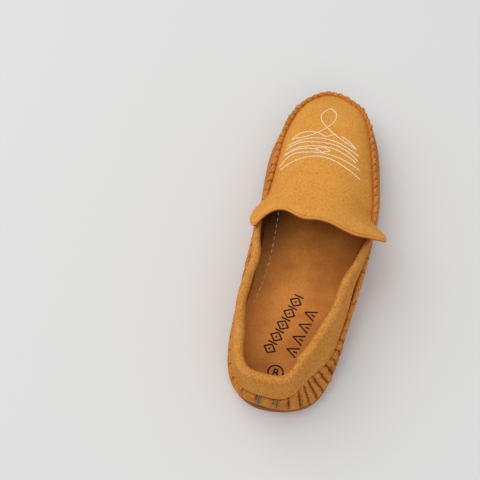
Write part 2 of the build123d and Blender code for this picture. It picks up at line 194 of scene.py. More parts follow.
class Ripple:
    """A smooth random field in space, the same on every run, for the uneven lie of leather."""

    WAVES = 14

    def __init__(self, seed: int, wavelength: float) -> None:
        """Draws the waves.

        Args:
            seed: Picks the field.
            wavelength: The usual distance between two swells.
        """
        draw = np.random.default_rng(seed)
        heading = draw.normal(size=(self.WAVES, 3))
        heading /= np.linalg.norm(heading, axis=1, keepdims=True)
        self.waves = heading * (2 * math.pi / (wavelength * draw.uniform(0.7, 1.6, (self.WAVES, 1))))
        self.phases = draw.uniform(0, 2 * math.pi, self.WAVES)

    def at(self, points: np.ndarray) -> np.ndarray:
        """Values of about -1 to 1 at points."""
        return np.sin(points @ self.waves.T + self.phases).sum(axis=-1) / math.sqrt(self.WAVES)


def ease(value: np.ndarray, low: float, high: float) -> np.ndarray:
    """0 below low, 1 above high, smooth between; low may be the larger for a fall."""
    t = np.clip((np.asarray(value, float) - low) / (high - low), 0, 1)
    return t * t * (3 - 2 * t)


# ---- The last: the form that the leather is drawn over ---------------------------------------
@dataclass
class Last:
    """The foot-shaped form of the shoe, which places every piece of leather.

    Most profiles run along the foot, by y. The insets and the band's shifts go by height, and
    the corner's draws go by thousandths of the outline, from the toe round the outer side.
    """

    outline: Points = field(default_factory=lambda: [
        (-5, 130.5), (13, 127), (27, 117), (36, 100), (43, 75), (47.5, 52), (49, 32),
        (47.5, 8), (45, -15), (42.5, -40), (39.8, -68), (36.6, -94), (28.3, -117), (11, -128.5),
        (-8, -130), (-25, -126), (-36, -113), (-41, -94), (-41.5, -70), (-39.8, -40),
        (-39, -10), (-40, 20), (-41.5, 50), (-40.5, 75), (-36.5, 95), (-30, 111), (-19, 124),
    ])
    wrap_insets: Points = field(default_factory=lambda: [
        (4.5, 3.0), (8.5, 0.7), (13.0, 0.0), (19.0, 1.4), (26.0, 3.4), (36.0, 5.8),
    ])
    band_insets: Points = field(default_factory=lambda: [
        (12.0, 1.9), (19.0, 2.6), (28.0, 4.2), (38.0, 6.6), (56.0, 11.5),
    ])
    band_shifts: Points = field(default_factory=lambda: [
        (12.0, 0.0), (19.0, 0.0), (38.0, -1.8), (56.0, -3.4),
    ])
    seam_heights: Points = field(default_factory=lambda: [
        (-140, 18.5), (-105, 19.0), (-65, 22.5), (-20, 29.5), (20, 34.0), (60, 33.0), (100, 29.0),
        (140, 25.0),
    ])
    top_heights: Points = field(default_factory=lambda: [
        (-140, 48.0), (-105, 47.0), (-60, 43.5), (-20, 43.0), (-6, 42.0), (4, 38.8), (14, 35.6),
        (26, 34.2), (34, 32.5),
    ])
    outer_lean: Points = field(default_factory=lambda: [
        (-128, 4.0), (-120, 3.6), (-113, 2.2), (-100, -0.6), (-82, -1.2), (-72, 0.6), (-60, 3.0),
        (-38, 3.9), (-30, 5.4), (-21, 7.6), (-12, 9.1), (-4, 9.6), (6, 7.5), (16, 4.0),
        (26, 2.0),
    ])
    inner_lean: Points = field(default_factory=lambda: [
        (-128, 4.0), (-110, 2.5), (-96, 1.6), (-74, 3.0), (-58, 4.0), (-42, 3.2), (-26, 3.2),
        (-17, 5.3), (-8, 5.2), (6, 3.4), (16, 1.5), (26, 1.0),
    ])
    waist: Points = field(default_factory=lambda: [
        (-100, 0.0), (-72, 0.85), (12, 0.85), (42, 0.2), (62, 0.0),
    ])
    corner_draws: Points = field(default_factory=lambda: [
        (380, 0.0), (400, 0.5), (420, 3.0), (435, 6.0), (453, 7.8), (468, 6.2), (482, 3.0),
        (494, 0.8), (505, 0.0),
    ])
    corner_rise: float = 0.45
    draw_low: float = 9.0
    draw_power: float = 1.15
    upright_heights: tuple[float, float] = (11.0, 17.0)
    lean_low: float = 13.0
    lean_span: float = 31.0
    lean_limit: float = 1.2
    lean_power: float = 1.3
    middle_blend: float = 8.0
    ridge_radius: float = 1.8
    sock_top: float = 12.0

    def __post_init__(self) -> None:
        """Fits the curves and finds the maker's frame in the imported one."""
        self.ring = SmoothPath(self.outline, closed=True)
        self.wrap_inset = HeightProfile(self.wrap_insets)
        self.band_inset = HeightProfile(self.band_insets)
        self.band_shift = HeightProfile(self.band_shifts)
        self.seam = HeightProfile(self.seam_heights)
        self.top = HeightProfile(self.top_heights)
        self.outer, self.inner = HeightProfile(self.outer_lean), HeightProfile(self.inner_lean)
        self.upright = HeightProfile(self.waist)
        self.draw = HeightProfile(self.corner_draws)
        low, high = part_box("wrap")
        plan = self.ring.points
        middle = (plan.min(axis=0) + plan.max(axis=0)) / 2 * MM
        self.shift = np.array([(low[0] + high[0]) / 2 - middle[0], (low[1] + high[1]) / 2 - middle[1], 0.0])

    def place(self, points: np.ndarray) -> np.ndarray:
        """Millimetres of the maker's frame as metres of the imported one."""
        return np.asarray(points, float) * MM + self.shift

    def inward(self, share: np.ndarray) -> np.ndarray:
        """Unit directions across the outline, towards the foot."""
        ahead = self.ring.along(share)
        return np.stack([ahead[..., 1], -ahead[..., 0]], axis=-1)

    def inside(self, share: np.ndarray, inset: np.ndarray, shift: np.ndarray | float = 0.0) -> np.ndarray:
        """Plan points moved in from the outline.

        Args:
            share: Where along the outline.
            inset: How far in.
            shift: How far towards +X.

        Returns:
            Points (x, y).
        """
        plan = self.ring.at(share) + self.inward(share) * np.asarray(inset, float)[..., None]
        plan[..., 0] += shift
        return plan

    def share_at(self, y: float, outer_side: bool) -> float:
        """The outline's share at a distance along the foot, on the outer or the inner side."""
        ys = self.ring.points[:, 1]
        half = self.ring.shares < 0.5 if outer_side else self.ring.shares >= 0.5
        nearest = np.argmin(np.where(half, np.abs(ys - y), np.inf))
        return float(self.ring.shares[nearest])

    def drawn_in(self, share: np.ndarray) -> np.ndarray:
        """How far the gathers at the outer back corner draw the seam inward."""
        return self.draw.at(np.asarray(share, float) % 1.0 * THOUSANDTHS)

    def seam_height(self, share: np.ndarray) -> np.ndarray:
        """Height of the whipped seam; it climbs where the gathers draw it in."""
        return self.seam.at(self.ring.at(share)[..., 1]) + self.drawn_in(share) * self.corner_rise

    def wall_inset(self, share: np.ndarray, height: np.ndarray) -> np.ndarray:
        """How far the wrap's wall stands inside the outline; at the waist it is nearly upright."""
        y = self.ring.at(share)[..., 1]
        ease_off = 1 - self.upright.at(y) * ease(height, *self.upright_heights)
        rise = (height - self.draw_low) / (self.seam_height(share) - self.draw_low)
        slope = np.clip(rise, 0, 1) ** self.draw_power
        return self.wrap_inset.at(height) * ease_off + self.drawn_in(share) * slope

    def collar_inset(self, share: np.ndarray, height: np.ndarray) -> np.ndarray:
        """How far the quarter stands inside the outline; it opens outward towards the ears."""
        plan = self.ring.at(share)
        side = ease(plan[..., 0], -self.middle_blend, self.middle_blend)
        lean = self.outer.at(plan[..., 1]) * side + self.inner.at(plan[..., 1]) * (1 - side)
        rise = np.clip((height - self.lean_low) / self.lean_span, 0, self.lean_limit) ** self.lean_power
        return self.band_inset.at(height) - lean * rise + self.drawn_in(share)


# ---- Mesh making -----------------------------------------------------------------------------
class MeshBuilder:
    """Gathers rings and grids of points into one mesh with smooth shading and point masks."""

    def __init__(self, last: Last) -> None:
        """Starts empty, for pieces placed by a last."""
        self.last = last
        self.points: list[np.ndarray] = []
        self.faces: list[tuple[int, ...]] = []
        self.masks: dict[str, list[tuple[int, np.ndarray]]] = {}
        self.count = 0

    def grid(self, points: np.ndarray, wrap_rows: bool = False, wrap_columns: bool = False,
             masks: dict[str, np.ndarray] | None = None, flip: bool = False) -> int:
        """Adds a grid of quads.

        Args:
            points: Rows by columns by 3, millimetres.
            wrap_rows: Whether the last row joins the first.
            wrap_columns: Whether the last column joins the first.
            masks: Point masks, rows by columns.
            flip: Whether the faces look the other way.

        Returns:
            The number of the first point.
        """
        rows, columns = points.shape[:2]
        first = self.count
        self.points.append(points.reshape(-1, 3))
        self.count += rows * columns
        for name, values in (masks or {}).items():
            self.masks.setdefault(name, []).append((first, values.reshape(-1)))
        for r in range(rows if wrap_rows else rows - 1):
            below, above = r * columns, (r + 1) % rows * columns
            for c in range(columns if wrap_columns else columns - 1):
                d = (c + 1) % columns
                quad = (first + below + c, first + below + d, first + above + d, first + above + c)
                self.faces.append(quad[::-1] if flip else quad)
        return first

    def cap(self, numbers: list[int], flip: bool = False) -> None:
        """Closes a loop of points, by their numbers, with one face."""
        self.faces.append(tuple(reversed(numbers)) if flip else tuple(numbers))

    def tube(self, rings: np.ndarray, masks: dict[str, np.ndarray] | None = None) -> None:
        """Adds a tube, closed at both ends.

        Args:
            rings: Rings by points in a ring by 3, millimetres.
            masks: Point masks, rings by points in a ring.
        """
        first = self.grid(rings, wrap_columns=True, masks=masks)
        count, sides = rings.shape[:2]
        end = first + (count - 1) * sides
        self.cap(list(range(first, first + sides)), flip=True)
        self.cap(list(range(end, end + sides)))

    def sheet(self, upper: np.ndarray, lower: np.ndarray, upper_masks: dict[str, np.ndarray],
              lower_masks: dict[str, np.ndarray] | None = None) -> None:
        """Adds a sheet with thickness from its two faces, joined round their borders.

        Args:
            upper: Points of the upper face, rows by columns by 3.
            lower: Points of the lower face, as many.
            upper_masks: Point masks of the upper face.
            lower_masks: Point masks of the lower face.
        """
        over = self.grid(upper, masks=upper_masks)
        under = self.grid(lower, masks=lower_masks, flip=True)
        rows, columns = upper.shape[:2]
        border = list(range(columns)) + [r * columns + columns - 1 for r in range(1, rows)]
        border += [(rows - 1) * columns + c for c in range(columns - 2, -1, -1)]
        border += [r * columns for r in range(rows - 2, 0, -1)]
        for i, j in zip(border, border[1:] + border[:1]):
            self.faces.append((over + i, under + i, under + j, over + j))

    def finish(self, name: str) -> bpy.types.Object:
        """Makes the object.

        Args:
            name: The piece's name.

        Returns:
            The object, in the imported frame.
        """
        mesh = bpy.data.meshes.new(name)
        points = self.last.place(np.concatenate(self.points))
        mesh.from_pydata(points.tolist(), [], self.faces)
        for mask, parts in self.masks.items():
            layer = mesh.attributes.new(mask, "FLOAT", "POINT")
            values = np.zeros(self.count)
            for first, part in parts:
                values[first:first + len(part)] = part
            layer.data.foreach_set("value", values)
        mesh.polygons.foreach_set("use_smooth", [True] * len(mesh.polygons))
        mesh.validate()
        tidy = bmesh.new()
        tidy.from_mesh(mesh)
        bmesh.ops.recalc_face_normals(tidy, faces=tidy.faces)
        tidy.to_mesh(mesh)
        tidy.free()
        piece = bpy.data.objects.new(name, mesh)
        bpy.context.scene.collection.objects.link(piece)
        return piece


def thread_rings(path: np.ndarray, radius: np.ndarray, sides: int) -> np.ndarray:
    """Rings of a tube round a path.

    Args:
        path: Points along the thread.
        radius: The thread's radius at each.
        sides: Points in a ring.

    Returns:
        Path points by sides by 3.
    """
    ahead = np.gradient(path, axis=0)
    ahead /= np.maximum(np.linalg.norm(ahead, axis=1, keepdims=True), TINY)
    up = np.array([0.0, 0.0, 1.0])
    across = np.cross(ahead, up)
    level = np.linalg.norm(across, axis=1, keepdims=True)
    across = np.where(level > 0.05, across / np.maximum(level, TINY), np.array([1.0, 0.0, 0.0]))
    over = np.cross(across, ahead)
    turn = np.linspace(0, 2 * math.pi, sides, endpoint=False)
    spokes = across[:, None] * np.cos(turn)[None, :, None] + over[:, None] * np.sin(turn)[None, :, None]
    return path[:, None] + spokes * np.asarray(radius)[:, None, None]


def add_thread(builder: MeshBuilder, path: np.ndarray, radius: float | np.ndarray, sides: int = 8) -> None:
    """Adds one round-ended length of thread.

    Args:
        builder: Takes the tube.
        path: Points along the thread, evenly spaced.
        radius: The thread's radius, or its radius at each point.
        sides: Points round the thread.
    """
    share = np.linspace(0, 1, len(path))
    swell = np.sqrt(np.clip(1 - (2 * share - 1) ** 8, 0.12, 1))
    builder.tube(thread_rings(path, radius * swell, sides))


# ---- Finishes --------------------------------------------------------------------------------
class Recipe:
    """Short ways to place and join shader nodes in one tree."""

    # The mix node's colour sockets go by number: it uses the names A, B and Result more than once.
    MIX_FIRST, MIX_SECOND, MIX_RESULT = 6, 7, 2

    def __init__(self, tree: bpy.types.NodeTree) -> None:
        """Works on a tree."""
        self.tree = tree

    def node(self, kind: str, **settings: object) -> bpy.types.Node:
        """Adds a node.

        Args:
            kind: The node's type.
            settings: Its properties.

        Returns:
            The node.
        """
        made = self.tree.nodes.new(kind)
        for name, value in settings.items():
            setattr(made, name, value)
        return made

    def join(self, source: bpy.types.NodeSocket, target: bpy.types.NodeSocket) -> None:
        """Links two sockets."""
        self.tree.links.new(source, target)

    def noise(self, where: bpy.types.NodeSocket, scale: float, detail: float,
              rough: float = 0.55) -> bpy.types.NodeSocket:
        """A noise texture's value.

        Args:
            where: The coordinates.
            scale: Features in a metre.
            detail: Octaves.
            rough: How strong the finer octaves are.

        Returns:
            The factor socket.
        """
        made = self.node("ShaderNodeTexNoise")
        made.inputs["Scale"].default_value = scale
        made.inputs["Detail"].default_value = detail
        made.inputs["Roughness"].default_value = rough
        self.join(where, made.inputs["Vector"])
        return made.outputs["Fac"]

    def ramp(self, value: bpy.types.NodeSocket, low: float, high: float) -> bpy.types.NodeSocket:
        """value stretched so that low is 0 and high is 1, clamped."""
        made = self.node("ShaderNodeMapRange")
        made.inputs["From Min"].default_value = low
        made.inputs["From Max"].default_value = high
        self.join(value, made.inputs["Value"])
        return made.outputs["Result"]

    def math(self, operation: str, first: object, second: object) -> bpy.types.NodeSocket:
        """A sum, product or other operation on two sockets or numbers."""
        made = self.node("ShaderNodeMath", operation=operation)
        for socket, value in zip(made.inputs, (first, second)):
            self.feed(value, socket)
        return made.outputs["Value"]

    def mix(self, share: object, first: object, second: object) -> bpy.types.NodeSocket:
        """A mix of two colours.

        Args:
            share: How much of the second, a socket or a number.
            first: A colour or its socket.
            second: A colour or its socket.

        Returns:
            The mixed colour's socket.
        """
        made = self.node("ShaderNodeMix", data_type="RGBA", blend_type="MIX")
        self.feed(share, made.inputs["Factor"])
        self.feed(first, made.inputs[self.MIX_FIRST])
        self.feed(second, made.inputs[self.MIX_SECOND])
        return made.outputs[self.MIX_RESULT]

    def feed(self, value: object, socket: bpy.types.NodeSocket) -> None:
        """Links a socket, or sets a plain value."""
        if isinstance(value, bpy.types.NodeSocket):
            self.join(value, socket)
        else:
            socket.default_value = value

    def mask(self, name: str) -> bpy.types.NodeSocket:
        """A point mask of the mesh, by its name."""
        return self.node("ShaderNodeAttribute", attribute_name=name).outputs["Fac"]


def make_group(
    name: str, inputs: dict[str, str], outputs: dict[str, str],
) -> tuple[bpy.types.NodeTree, Recipe, bpy.types.Node, bpy.types.Node]:
    """An empty node group.

    Args:
        name: The group's name.
        inputs: Socket names and their kinds.
        outputs: Socket names and their kinds.

    Returns:
        The group, its recipe, its input node and its output node.
    """
    group = bpy.data.node_groups.new(name, "ShaderNodeTree")
    for label, kind in inputs.items():
        group.interface.new_socket(label, in_out="INPUT", socket_type=kind)
    for label, kind in outputs.items():
        group.interface.new_socket(label, in_out="OUTPUT", socket_type=kind)
    recipe = Recipe(group)
    return group, recipe, recipe.node("NodeGroupInput"), recipe.node("NodeGroupOutput")


class Workshop:
    """The node groups that several finishes share, each built once."""

    FLOAT, COLOUR = "NodeSocketFloat", "NodeSocketColor"

    def __init__(self) -> None:
        """Builds the groups."""
        self.nap = self.build_nap()
        self.grain = self.build_grain()
        self.twist = self.build_twist()
        self.materials: dict[str, bpy.types.Material] = {}

    def build_nap(self) -> bpy.types.NodeTree:
        """The brushed nap of suede: clouded colour, flecks, and a fibrous height.

        Returns:
            A group that puts out Colour, Roughness and Height.
        """
        group, recipe, given, out = make_group(
            "suede_nap",
            {"Colour": self.COLOUR, "Light": self.COLOUR, "Dark": self.COLOUR,
             "Cloud Scale": self.FLOAT, "Fleck Scale": self.FLOAT, "Contrast": self.FLOAT},
            {"Colour": self.COLOUR, "Roughness": self.FLOAT, "Height": self.FLOAT},
        )
        where = recipe.node("ShaderNodeTexCoord").outputs["Object"]
        warp = recipe.node("ShaderNodeVectorMath", operation="MULTIPLY")
        warp.inputs[1].default_value = (1.0, 0.72, 1.0)
        recipe.join(where, warp.inputs[0])
        cloud = recipe.node("ShaderNodeTexNoise")
        cloud.inputs["Detail"].default_value = 3.0
        cloud.inputs["Distortion"].default_value = 0.6
        recipe.join(warp.outputs[0], cloud.inputs["Vector"])
        recipe.join(given.outputs["Cloud Scale"], cloud.inputs["Scale"])
        fleck = recipe.node("ShaderNodeTexNoise")
        fleck.inputs["Detail"].default_value = 4.0
        fleck.inputs["Roughness"].default_value = 0.65
        recipe.join(warp.outputs[0], fleck.inputs["Vector"])
        recipe.join(given.outputs["Fleck Scale"], fleck.inputs["Scale"])
        fibre = recipe.noise(where, 2600.0, 2.0, 0.6)
        contrast = given.outputs["Contrast"]
        lightened = recipe.math("MULTIPLY", recipe.ramp(cloud.outputs["Fac"], 0.48, 0.84), contrast)
        darkened = recipe.math("MULTIPLY", recipe.ramp(cloud.outputs["Fac"], 0.52, 0.16), contrast)
        tone = recipe.mix(lightened, given.outputs["Colour"], given.outputs["Light"])
        tone = recipe.mix(darkened, tone, given.outputs["Dark"])
        speck = recipe.math("MULTIPLY", recipe.ramp(fleck.outputs["Fac"], 0.54, 0.34), 1.7)
        tone = recipe.mix(recipe.math("MULTIPLY", speck, contrast), tone, given.outputs["Dark"])
        lift = recipe.math("MULTIPLY", recipe.ramp(fleck.outputs["Fac"], 0.50, 0.68), 1.5)
        tone = recipe.mix(recipe.math("MULTIPLY", lift, contrast), tone, given.outputs["Light"])
        recipe.join(tone, out.inputs["Colour"])
        recipe.join(recipe.math("ADD", recipe.math("MULTIPLY", fibre, 0.12), 0.84), out.inputs["Roughness"])
        height = recipe.math("ADD", fleck.outputs["Fac"], recipe.math("MULTIPLY", fibre, 0.45))
        recipe.join(height, out.inputs["Height"])
        return group

    def build_grain(self) -> bpy.types.NodeTree:
        """The fine pebble and pores of smooth leather or rubber.

        Returns:
            A group that puts out Colour, Roughness and Height.
        """
        group, recipe, given, out = make_group(
            "fine_grain",
            {"Colour": self.COLOUR, "Dark": self.COLOUR, "Pebble Scale": self.FLOAT, "Stain": self.FLOAT,
             "Base Roughness": self.FLOAT},
            {"Colour": self.COLOUR, "Roughness": self.FLOAT, "Height": self.FLOAT},
        )
        where = recipe.node("ShaderNodeTexCoord").outputs["Object"]
        pebble = recipe.node("ShaderNodeTexVoronoi", feature="F1")
        recipe.join(where, pebble.inputs["Vector"])
        recipe.join(given.outputs["Pebble Scale"], pebble.inputs["Scale"])
        cloud = recipe.noise(where, 42.0, 4.0)
        fine = recipe.noise(where, 900.0, 3.0)
        stain = given.outputs["Stain"]
        worn = recipe.math("MULTIPLY", recipe.ramp(cloud, 0.40, 0.66), stain)
        tone = recipe.mix(worn, given.outputs["Colour"], given.outputs["Dark"])
        mottle = recipe.math("MULTIPLY", recipe.ramp(fine, 0.42, 0.66), recipe.math("MULTIPLY", stain, 0.6))
        tone = recipe.mix(mottle, tone, given.outputs["Dark"])
        recipe.join(tone, out.inputs["Colour"])
        rough = recipe.math("ADD", given.outputs["Base Roughness"], recipe.math("MULTIPLY", cloud, 0.14))
        recipe.join(rough, out.inputs["Roughness"])
        height = recipe.math("ADD", pebble.outputs["Distance"], recipe.math("MULTIPLY", fine, 0.4))
        recipe.join(height, out.inputs["Height"])
        return group

    def build_twist(self) -> bpy.types.NodeTree:
        """The twisted plies of a thread, with painted shade in the furrows between them.

        Returns:
            A group that puts out Colour and Height.
        """
        group, recipe, given, out = make_group(
            "thread_twist",
            {"Colour": self.COLOUR, "Dark": self.COLOUR, "Ply Scale": self.FLOAT},
            {"Colour": self.COLOUR, "Height": self.FLOAT},
        )
        where = recipe.node("ShaderNodeTexCoord").outputs["Object"]
        ply = recipe.node("ShaderNodeTexWave", wave_type="BANDS", bands_direction="DIAGONAL")
        ply.inputs["Distortion"].default_value = 1.2
        recipe.join(where, ply.inputs["Vector"])
        recipe.join(given.outputs["Ply Scale"], ply.inputs["Scale"])
        fuzz = recipe.noise(where, 1500.0, 2.0)
        # Painted shade: the furrows between the plies are mixed toward Dark; the fuzz mottle is the thread's
        # own tone.
        furrow = recipe.ramp(ply.outputs["Fac"], 0.75, 0.05)
        tone = recipe.mix(furrow, given.outputs["Colour"], given.outputs["Dark"])
        tone = recipe.mix(recipe.math("MULTIPLY", fuzz, 0.3), tone, given.outputs["Dark"])
        recipe.join(tone, out.inputs["Colour"])
        height = recipe.math("ADD", ply.outputs["Fac"], recipe.math("MULTIPLY", fuzz, 0.5))
        recipe.join(height, out.inputs["Height"])
        return group


class Finish:
    """What every finish shares: a named material made once, on first use."""

    name: str

    def fill(self, recipe: Recipe, shader: bpy.types.Node, shop: Workshop) -> None:
        """Wires the finish; each kind of finish has its own way."""
        raise NotImplementedError

    def material(self, shop: Workshop) -> bpy.types.Material:
        """The finish's material.

        Args:
            shop: Holds the shared node groups.

        Returns:
            The material, made on the first call and reused after it.
        """
        if self.name in shop.materials:
            return shop.materials[self.name]
        made = shop.materials[self.name] = bpy.data.materials.new(self.name)
        made.use_nodes = True
        tree = made.node_tree
        tree.nodes.clear()
        recipe = Recipe(tree)
        shader = recipe.node("ShaderNodeBsdfPrincipled")
        output = recipe.node("ShaderNodeOutputMaterial")
        recipe.join(shader.outputs["BSDF"], output.inputs["Surface"])
        self.fill(recipe, shader, shop)
        return made

    @staticmethod
    def group(recipe: Recipe, tree: bpy.types.NodeTree, **values: object) -> bpy.types.Node:
        """Places a shared group.

        Args:
            recipe: Where it goes.
            tree: The group.
            values: Its inputs by name, with underscores for blanks.

        Returns:
            The group's node.
        """
        made = recipe.node("ShaderNodeGroup")
        made.node_tree = tree
        for name, value in values.items():
            recipe.feed(value, made.inputs[name.replace("_", " ")])
        return made

    @staticmethod
    def bump(recipe: Recipe, shader: bpy.types.Node, height: bpy.types.NodeSocket,
             strength: float, depth: float) -> None:
        """Gives the shader a bump from a height.

        Args:
            recipe: Where it goes.
            shader: Takes the normal.
            height: The height's socket.
            strength: Its strength, 0 to 1.
            depth: Its depth in metres.
        """
        made = recipe.node("ShaderNodeBump")
        made.inputs["Strength"].default_value = strength
        made.inputs["Distance"].default_value = depth
        recipe.join(height, made.inputs["Height"])
        recipe.join(made.outputs["Normal"], shader.inputs["Normal"])


@dataclass(frozen=True)
class Suede(Finish):
    """Brushed suede. A point mask of the mesh mixes in a dark colour as painted shade in folds, in valleys,
    along seams and on hidden faces; its mask cut reddens cut edges.
    """

    name: str
    colour: Colour
    light: Colour
    dark: Colour
    # The colour of the painted shade that the mask mixes in.
    painted_shade: Colour
    cut: Colour
    cloud_scale: float = 46.0
    fleck_scale: float = 880.0
    contrast: float = 0.55
    nap_strength: float = 0.6
    nap_depth: float = 0.0008

    def fill(self, recipe: Recipe, shader: bpy.types.Node, shop: Workshop) -> None:
        """Wires the finish.

        Args:
            recipe: The material's tree.
            shader: Its shader.
            shop: Holds the shared node groups.
        """
        nap = self.group(
            recipe, shop.nap, Colour=self.colour, Light=self.light, Dark=self.dark,
            Cloud_Scale=self.cloud_scale, Fleck_Scale=self.fleck_scale, Contrast=self.contrast,
        )
        tone = recipe.mix(recipe.mask("cut"), nap.outputs["Colour"], self.cut)
        # Painted shade: the mask mixes the shade colour in where shade falls.
        tone = recipe.mix(recipe.mask("painted_shade"), tone, self.painted_shade)
        recipe.join(tone, shader.inputs["Base Color"])
        recipe.join(nap.outputs["Roughness"], shader.inputs["Roughness"])
        shader.inputs["Specular IOR Level"].default_value = 0.06
        shader.inputs["Sheen Weight"].default_value = 0.03
        shader.inputs["Sheen Roughness"].default_value = 0.5
        shader.inputs["Sheen Tint"].default_value = self.light
        self.bump(recipe, shader, nap.outputs["Height"], self.nap_strength, self.nap_depth)


@dataclass(frozen=True)
class Grained(Finish):
    """Leather, rubber, board or foam with a fine grain. The mesh's mask shade mixes in painted shade deep
    inside the shoe.
    """

    name: str
    colour: Colour
    dark: Colour
    roughness: float = 0.55
    pebble_scale: float = 900.0
    stain: float = 0.5
    strength: float = 0.3
    # The colour of the painted shade deep inside the shoe.
    shade: Colour = srgb(58, 24, 6)
    depth: float = 0.0003

    def fill(self, recipe: Recipe, shader: bpy.types.Node, shop: Workshop) -> None:
        """Wires the finish.

        Args:
            recipe: The material's tree.
            shader: Its shader.
            shop: Holds the shared node groups.
        """
        grain = self.group(
            recipe, shop.grain, Colour=self.colour, Dark=self.dark, Pebble_Scale=self.pebble_scale,
            Stain=self.stain, Base_Roughness=self.roughness,
        )
        # Painted shade: the mask mixes the shade colour in where the foot cavity is in shade.
        tone = recipe.mix(recipe.mask("shade"), grain.outputs["Colour"], self.shade)
        recipe.join(tone, shader.inputs["Base Color"])
        recipe.join(grain.outputs["Roughness"], shader.inputs["Roughness"])
        shader.inputs["Specular IOR Level"].default_value = 0.3
        self.bump(recipe, shader, grain.outputs["Height"], self.strength, self.depth)


@dataclass(frozen=True)
class Thread(Finish):
    """Twisted sewing thread."""

    name: str
    colour: Colour
    dark: Colour
    ply_scale: float = 420.0
    roughness: float = 0.6
    twist_strength: float = 0.5
    twist_depth: float = 0.0002

    def fill(self, recipe: Recipe, shader: bpy.types.Node, shop: Workshop) -> None:
        """Wires the finish.

        Args:
            recipe: The material's tree.
            shader: Its shader.
            shop: Holds the shared node groups.
        """
        twist = self.group(
            recipe, shop.twist, Colour=self.colour, Dark=self.dark, Ply_Scale=self.ply_scale,
        )
        recipe.join(twist.outputs["Colour"], shader.inputs["Base Color"])
        shader.inputs["Roughness"].default_value = self.roughness
        self.bump(recipe, shader, twist.outputs["Height"], self.twist_strength, self.twist_depth)


# ---- The gathers of the wrap -----------------------------------------------------------------
@dataclass
class Gathers:
    """How the wrap is gathered round the seam.

    Each station gives the share of the outline, the stitch pitch, the depth of the folds, how far
    down the wall they run, and how far they lean back along the seam in pitches.
    """

    last: Last
    stations: Points = field(default_factory=lambda: [
        (0.00, 6.2, 1.00, 0.60, 0.25), (0.09, 6.3, 1.05, 0.65, 0.35), (0.17, 7.0, 0.95, 0.45, 0.45),
        (0.225, 8.0, 0.55, 0.35, 0.30), (0.27, 11.0, 0.28, 0.30, 0.10), (0.355, 11.0, 0.40, 0.45, 0.20),
        (0.38, 8.4, 1.40, 0.90, 0.10), (0.405, 7.0, 2.60, 1.00, 0.00), (0.465, 7.0, 2.90, 1.00, 0.00),
        (0.486, 9.0, 1.60, 0.80, 0.00), (0.50, 12.4, 0.40, 0.35, 0.00), (0.54, 12.4, 0.45, 0.40, 0.00),
        (0.60, 10.0, 0.70, 0.50, 0.00), (0.70, 10.0, 0.40, 0.35, 0.00), (0.77, 9.0, 0.45, 0.35, 0.00),
        (0.83, 7.4, 0.95, 0.50, -0.30), (0.90, 6.4, 1.10, 0.65, -0.35), (0.96, 6.2, 1.00, 0.60, -0.10),
    ])
    seed: int = 11
    sizes: tuple[float, float] = (0.7, 1.2)
    nudge_limit: float = 0.14
    fullness: float = 0.62

    def __post_init__(self) -> None:
        """Adds up the stitches round the outline and draws how uneven they are."""
        table = np.array(self.stations + [(1.0, *self.stations[0][1:])])
        self.shares = np.linspace(0, 1, 6001)
        self.values = [np.interp(self.shares, table[:, 0], table[:, c]) for c in range(1, 5)]
        rate = self.last.ring.length / self.values[0]
        steps = (rate[1:] + rate[:-1]) / 2 * np.diff(self.shares)
        turns = np.concatenate([[0.0], np.cumsum(steps)])
        self.total = round(turns[-1])
        self.turns = turns * self.total / turns[-1]
        draw = np.random.default_rng(self.seed)
        self.size = draw.uniform(*self.sizes, self.total)
        self.nudge = draw.uniform(-self.nudge_limit, self.nudge_limit, self.total)

    def phase(self, share: np.ndarray) -> np.ndarray:
        """Stitches passed from the toe to a share of the outline."""
        wanted = np.asarray(share, float)
        return np.interp(wanted % 1.0, self.shares, self.turns) + np.floor(wanted) * self.total

    def read(self, share: np.ndarray) -> tuple[np.ndarray, np.ndarray, np.ndarray]:
        """Depth, reach and lean of the folds at shares."""
        wanted = np.asarray(share, float) % 1.0
        return tuple(np.interp(wanted, self.shares, self.values[c]) for c in (1, 2, 3))

    def swell(self, phase: np.ndarray) -> np.ndarray:
        """How full a fold stands at a phase: 0 at a stitch, up to about 1 between two."""
        number = np.floor(phase).astype(int) % self.total
        within = phase - np.floor(phase)
        within = np.clip(within + self.nudge[number] * np.sin(math.pi * within), 0, 1)
        return np.sin(math.pi * within) ** self.fullness * self.size[number]

    def stitch_shares(self, start: float, end: float) -> np.ndarray:
        """Shares of the stitches between two shares, start the smaller; end may pass 1."""
        first, last = math.ceil(self.phase(start)), math.floor(self.phase(end))
        numbers = np.arange(first, last + 1)
        laps = np.floor(numbers / self.total)
        return np.interp(numbers - laps * self.total, self.turns, self.shares) + laps


# ---- Sub-assemblies --------------------------------------------------------------------------
@dataclass
class Piece:
    """What every sub-assembly needs: the last, the gathers and the shared node groups."""

    last: Last
    gathers: Gathers
    shop: Workshop

    def dress(self, piece: bpy.types.Object, finish: Finish, slot: str, *nodes: str) -> bpy.types.Object:
        """Gives a piece its finish and its place in the frame.

        Args:
            piece: The piece.
            finish: What it is made of.
            slot: The record's material slot; not used.
            nodes: The frame's nodes that it stands for.

        Returns:
            The piece.
        """
        piece.data.materials.append(finish.material(self.shop))
        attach(piece, BODY)
        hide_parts(*nodes)
        return piece


